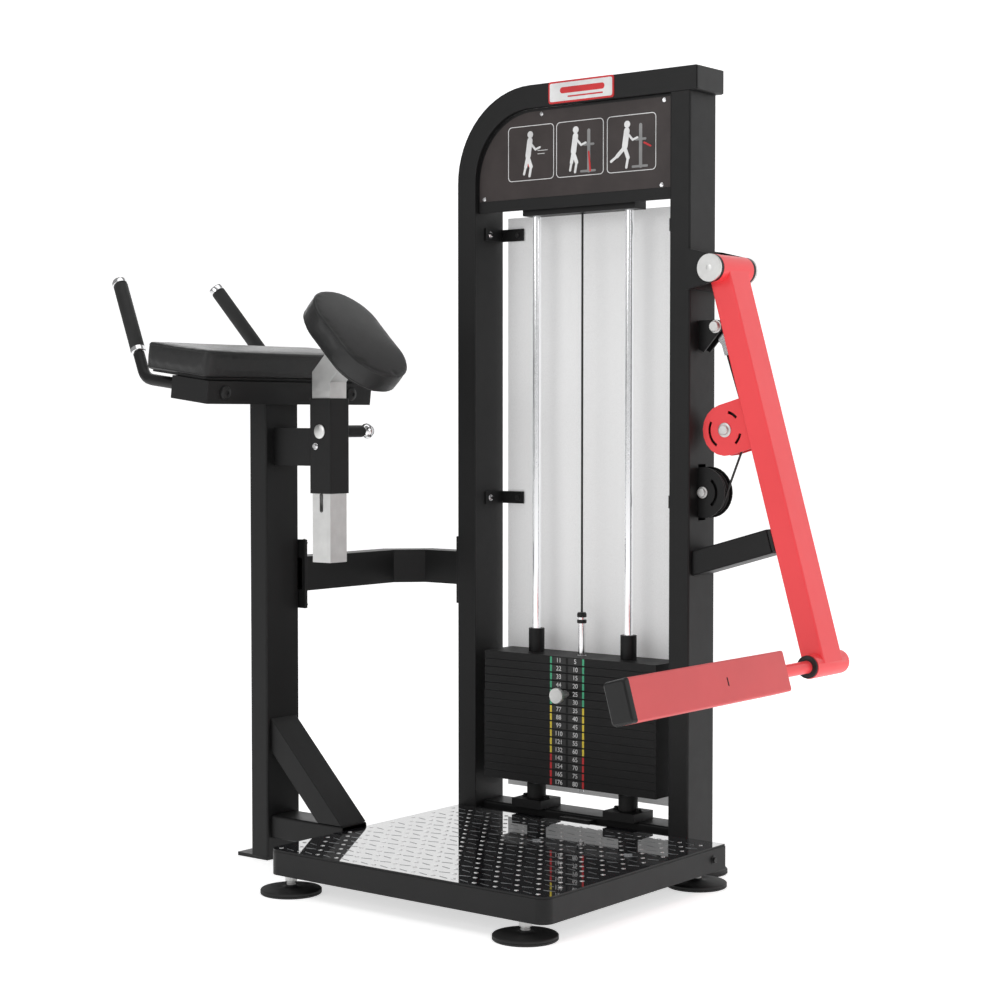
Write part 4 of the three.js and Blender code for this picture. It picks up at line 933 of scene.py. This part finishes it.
def feet():
    """Levelling feet: a rubber disc with a groove round its rim, and a plain stem with a collar."""
    for node in [n for n in NODES if n.startswith("foot_") and n not in ("foot_pad", "foot_pad_shaft")]:
        lo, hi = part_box(node)
        where = Vector(((lo.x + hi.x) / 2, (lo.y + hi.y) / 2, 0))
        bm = bmesh.new()
        profile = [(0, 0), (60.5, 0), (61.8, 1.2), (61.8, 4.2), (60.6, 4.8), (61.8, 5.4), (61.8, 8.2)]
        profile += [(60.2, 9.8), (56, 10.9), (40, 11.4), (24, 12), (15, 13), (12, 15), (11, 17.5), (0, 17.5)]
        lathe_into(bm, profile, where, (0, 0, 1), 72)
        obj = finish_piece(bm, "look_" + node, "rubber", "frame", smooth=30)
        stem = bmesh.new()
        steps = [(0, 17), (9.4, 17), (9.4, 20)]
        steps += [(8.2, 21), (8.2, 24), (11.4, 24.2), (12.2, 25), (12.2, 33.6), (11.4, 34.4)]
        steps += [(8.2, 34.6), (8.2, 37.2), (0, 37.2)]
        lathe_into(stem, steps, where, (0, 0, 1), 12)
        finish_piece(stem, "stem_" + node, "satin", "frame", smooth=30)
        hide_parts(node)


def tread_pattern():
    """Low studs in staggered rows on the tread plate, with a short bar between each pair."""
    studs, bars = bmesh.new(), bmesh.new()
    z = TREAD_TOP - 0.15
    stud_pitch, row_pitch = 50, 34
    half_pitch = stud_pitch / 2
    dome = [(0, 0), (4.8, 0), (4.3, 0.6), (2.6, 1.05), (0, 1.2)]
    row = 0
    y = -592.0
    while y < -14:
        x = -588.0 + (half_pitch if row % 2 else 0)
        while x < 80:
            lathe_into(studs, dome, at(x, y, z), (0, 0, 1), 14)
            if x + half_pitch < 78:
                angle = math.radians(14 if row % 2 else -14)
                u = (math.cos(angle), math.sin(angle), 0)
                v = (-math.sin(angle), math.cos(angle), 0)
                slab_into(bars, rounded(24, 2.6, 1.2, 2), at(x + half_pitch, y, z), u, v, 0.6, 0.3)
            x += stud_pitch
        y += row_pitch
        row += 1
    finish_piece(studs, "tread_studs", "stud", "frame", smooth=70)
    finish_piece(bars, "tread_bars", "stud_dark", "frame", smooth=70)


def grips():
    """Rubber sleeves, chrome end caps and collars on the two handles."""
    rest = Matrix.Translation(at(*REST_ORIGIN)) @ Matrix.Rotation(PAD_TILT, 4, "Y")
    for name, side in (("left", -1), ("right", 1)):
        bend_x, bend_y, bend_z = HANDLE_BEND
        elbow = Vector((bend_x - REST_ORIGIN[0], side * bend_y, bend_z))
        lean = Vector((HANDLE_LEAN[0], side * HANDLE_LEAN[1], HANDLE_LEAN[2]))
        low, top = elbow + lean * 0.30, elbow + lean
        a, b = rest @ (low * MM), rest @ (top * MM)
        length = (b - a).length / MM
        profile = [(0, -1.0), (15.2, -1.0), (15.9, 0.5), (15.9, length - 14)]
        profile += [(15.3, length - 13.2), (0, length - 13.2)]
        lathe("grip_" + name, profile, a, b - a, "grip", "frame", 40, smooth=50)
        cap = [(0, length - 13.2), (15.4, length - 13.2), (17.6, length - 12.2), (17.6, length - 5.5)]
        cap += [(16.2, length - 1.5), (12, length + 0.6), (6, length + 1.2), (0, length + 1.4)]
        lathe("grip_cap_" + name, cap, a, b - a, "chrome", "frame", 48)
        collar = [(0, -13), (15.2, -13), (16.9, -12), (16.9, -2), (15.2, -1), (0, -1)]
        lathe("grip_collar_" + name, collar, a, b - a, "chrome", "frame", 48)


def turned_parts():
    """Guide rods, the pull pin with its ball, and the black ribbed fitting on the selector stem."""
    for side, x in (("left", MID_X - ROD_SPREAD), ("right", MID_X + ROD_SPREAD)):
        rod = [(0, 0), (8.4, 0), (9, 0.6), (9, 1311.4), (8.4, 1312), (0, 1312)]
        # The rods' look is bright chrome with a painted glow from emission.
        lathe("rod_look_" + side, rod, at(x, MID_Y, 100), (0, 0, 1), "bright", "frame", 64)
        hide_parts("guide_rod_" + side)
    pin = [(0, 0), (5.4, 0), (6, 0.6), (6, 79)]
    for degrees in range(26, 180, 7):
        a = math.radians(degrees)
        pin.append((17 * math.sin(a), 92.6 - 17 * math.cos(a)))
    pin += [(0, 109.6)]
    lathe("pull_pin_look", pin, at(MAST_X, -325.6, LOCK_Z), (0, 1, 0), "chrome", "pull_pin_body", 48)
    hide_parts("pull_pin")
    ribs = [(2.6, 0), (9.6, 0), (10.4, 1.5), (10.4, 7), (7.6, 9), (7.6, 12), (10.4, 14), (10.4, 20)]
    ribs += [(8.6, 23.4), (2.6, 23.6), (2.6, 0)]
    lathe("stem_fitting", ribs, at(MID_X, MID_Y, 511), (0, 0, 1), "plastic", "lifted_stack", 40)


def fastenings():
    """Bolt heads, discs and plugs seen round the machine."""
    dark = []
    # Tray bolts on its inner side, and the sleeve's disc and small bolt.
    rest = Matrix.Translation(at(*REST_ORIGIN)) @ Matrix.Rotation(PAD_TILT, 4, "Y")
    inner = rest.to_3x3() @ Vector((1, 0, 0))
    for side, y in (("near", -202), ("far", 184)):
        dome = [(0, 0), (14.5, 0), (14.5, 2.5), (13, 5), (8, 6.8), (5, 6.8), (4.6, 5), (0, 5)]
        lathe("tray_bolt_" + side, dome, rest @ (Vector((55, y, 24)) * MM), inner, "plastic", "frame", 32)
    for z in (548, 683):
        for x in (-849, -807):
            dark.append((at(x, -293.7, z), (0, 1, 0)))
        for y in (20, 84):
            dark.append((at(-621.3, y, z), (-1, 0, 0)))
    for x in (-429.5, -183.5):
        for dx in (-29, 29):
            dark.append((at(x + dx, 49, 117), (0, 0, 1)))
    dark.append((at(92.5, -46, 63), (1, 0, 0)))
    bolts("frame_bolts", dark, "plastic", "frame", 6.5, 4.5)
    disc = [(0, 0), (15, 0), (15, 1.6), (13.8, 2.4), (0, 2.6)]
    lathe("sleeve_disc", disc, at(MAST_X, -382, LOCK_Z), (0, -1, 0), "zinc", "frame", 40)
    bolts("sleeve_bolt", [(at(-688, -382, 896), (0, -1, 0))], "chrome", "frame", 5.5, 4)
    c = down_arm(ARM_PULLEY_ALONG, ARM_PULLEY_OUT)
    head = [(0, 0), (15, 0), (15, 1.4), (13.5, 2.2), (10.2, 2.2), (10.2, 7), (9, 8.2), (0, 8.4)]
    place = at(c[0], 33.4, c[1])
    lathe("arm_pulley_bolt", head, place, (0, -1, 0), "satin", "swing_arm_body", 40)
    head = [(0, 0), (12, 0), (12, 1.4), (9.2, 1.8), (9.2, 7), (8, 8), (0, 8.2)]
    place = at(LOWER_PULLEY[0], 33.4, LOWER_PULLEY[1])
    lathe("lower_pulley_bolt", head, place, (0, -1, 0), "satin", "frame", 40)
    head = [(0, 0), (13.5, 0), (13.5, 1.6), (11.2, 2), (11.2, 8), (9.8, 9.4), (0, 9.6)]
    place = at(CABLE_ANCHOR[0], 35.6, CABLE_ANCHOR[1])
    lathe("anchor_bolt", head, place, (0, -1, 0), "satin", "frame", 40)
    # The disc in the axle's cap, and the bush and the domed end of the foot tube.
    foot_x, foot_z = down_arm(ARM_LENGTH)
    foot = at(foot_x, 0, foot_z)
    plug = [(0, 0), (7, 0), (7, 0.5), (5, 0.9), (0, 0.9)]
    axle_end = at(PIVOT[0], -21.6, PIVOT[1])
    lathe("axle_plug", plug, axle_end, (0, -1, 0), "zinc", "frame", 32)
    bush = [(12.9, 0), (20, 0), (22.5, -1.5), (22.5, -5), (20, -6.3), (12.9, -6.3), (12.9, 0)]
    near_end = foot + Vector((0, -10 * MM, 0))
    lathe("foot_tube_bush", bush, near_end, (0, 1, 0), "plastic", "foot_pad_body", 40)
    dome = [(0, 0), (23.4, 0), (23.4, 2), (20, 5), (12, 7.4), (0, 8.2)]
    far_end = foot + Vector((0, 112 * MM, 0))
    lathe("foot_tube_dome", dome, far_end, (0, 1, 0), "red_steel", "swing_arm_body", 40)


# ---------------------------------------------------------------- run
make_looks()
studio()
steelwork()
weight_stack()
pads()
foot_roller()
placard()
plate_labels()
selector_knob()
shroud_clips()
cables()
feet()
tread_pattern()
grips()
turned_parts()
fastenings()
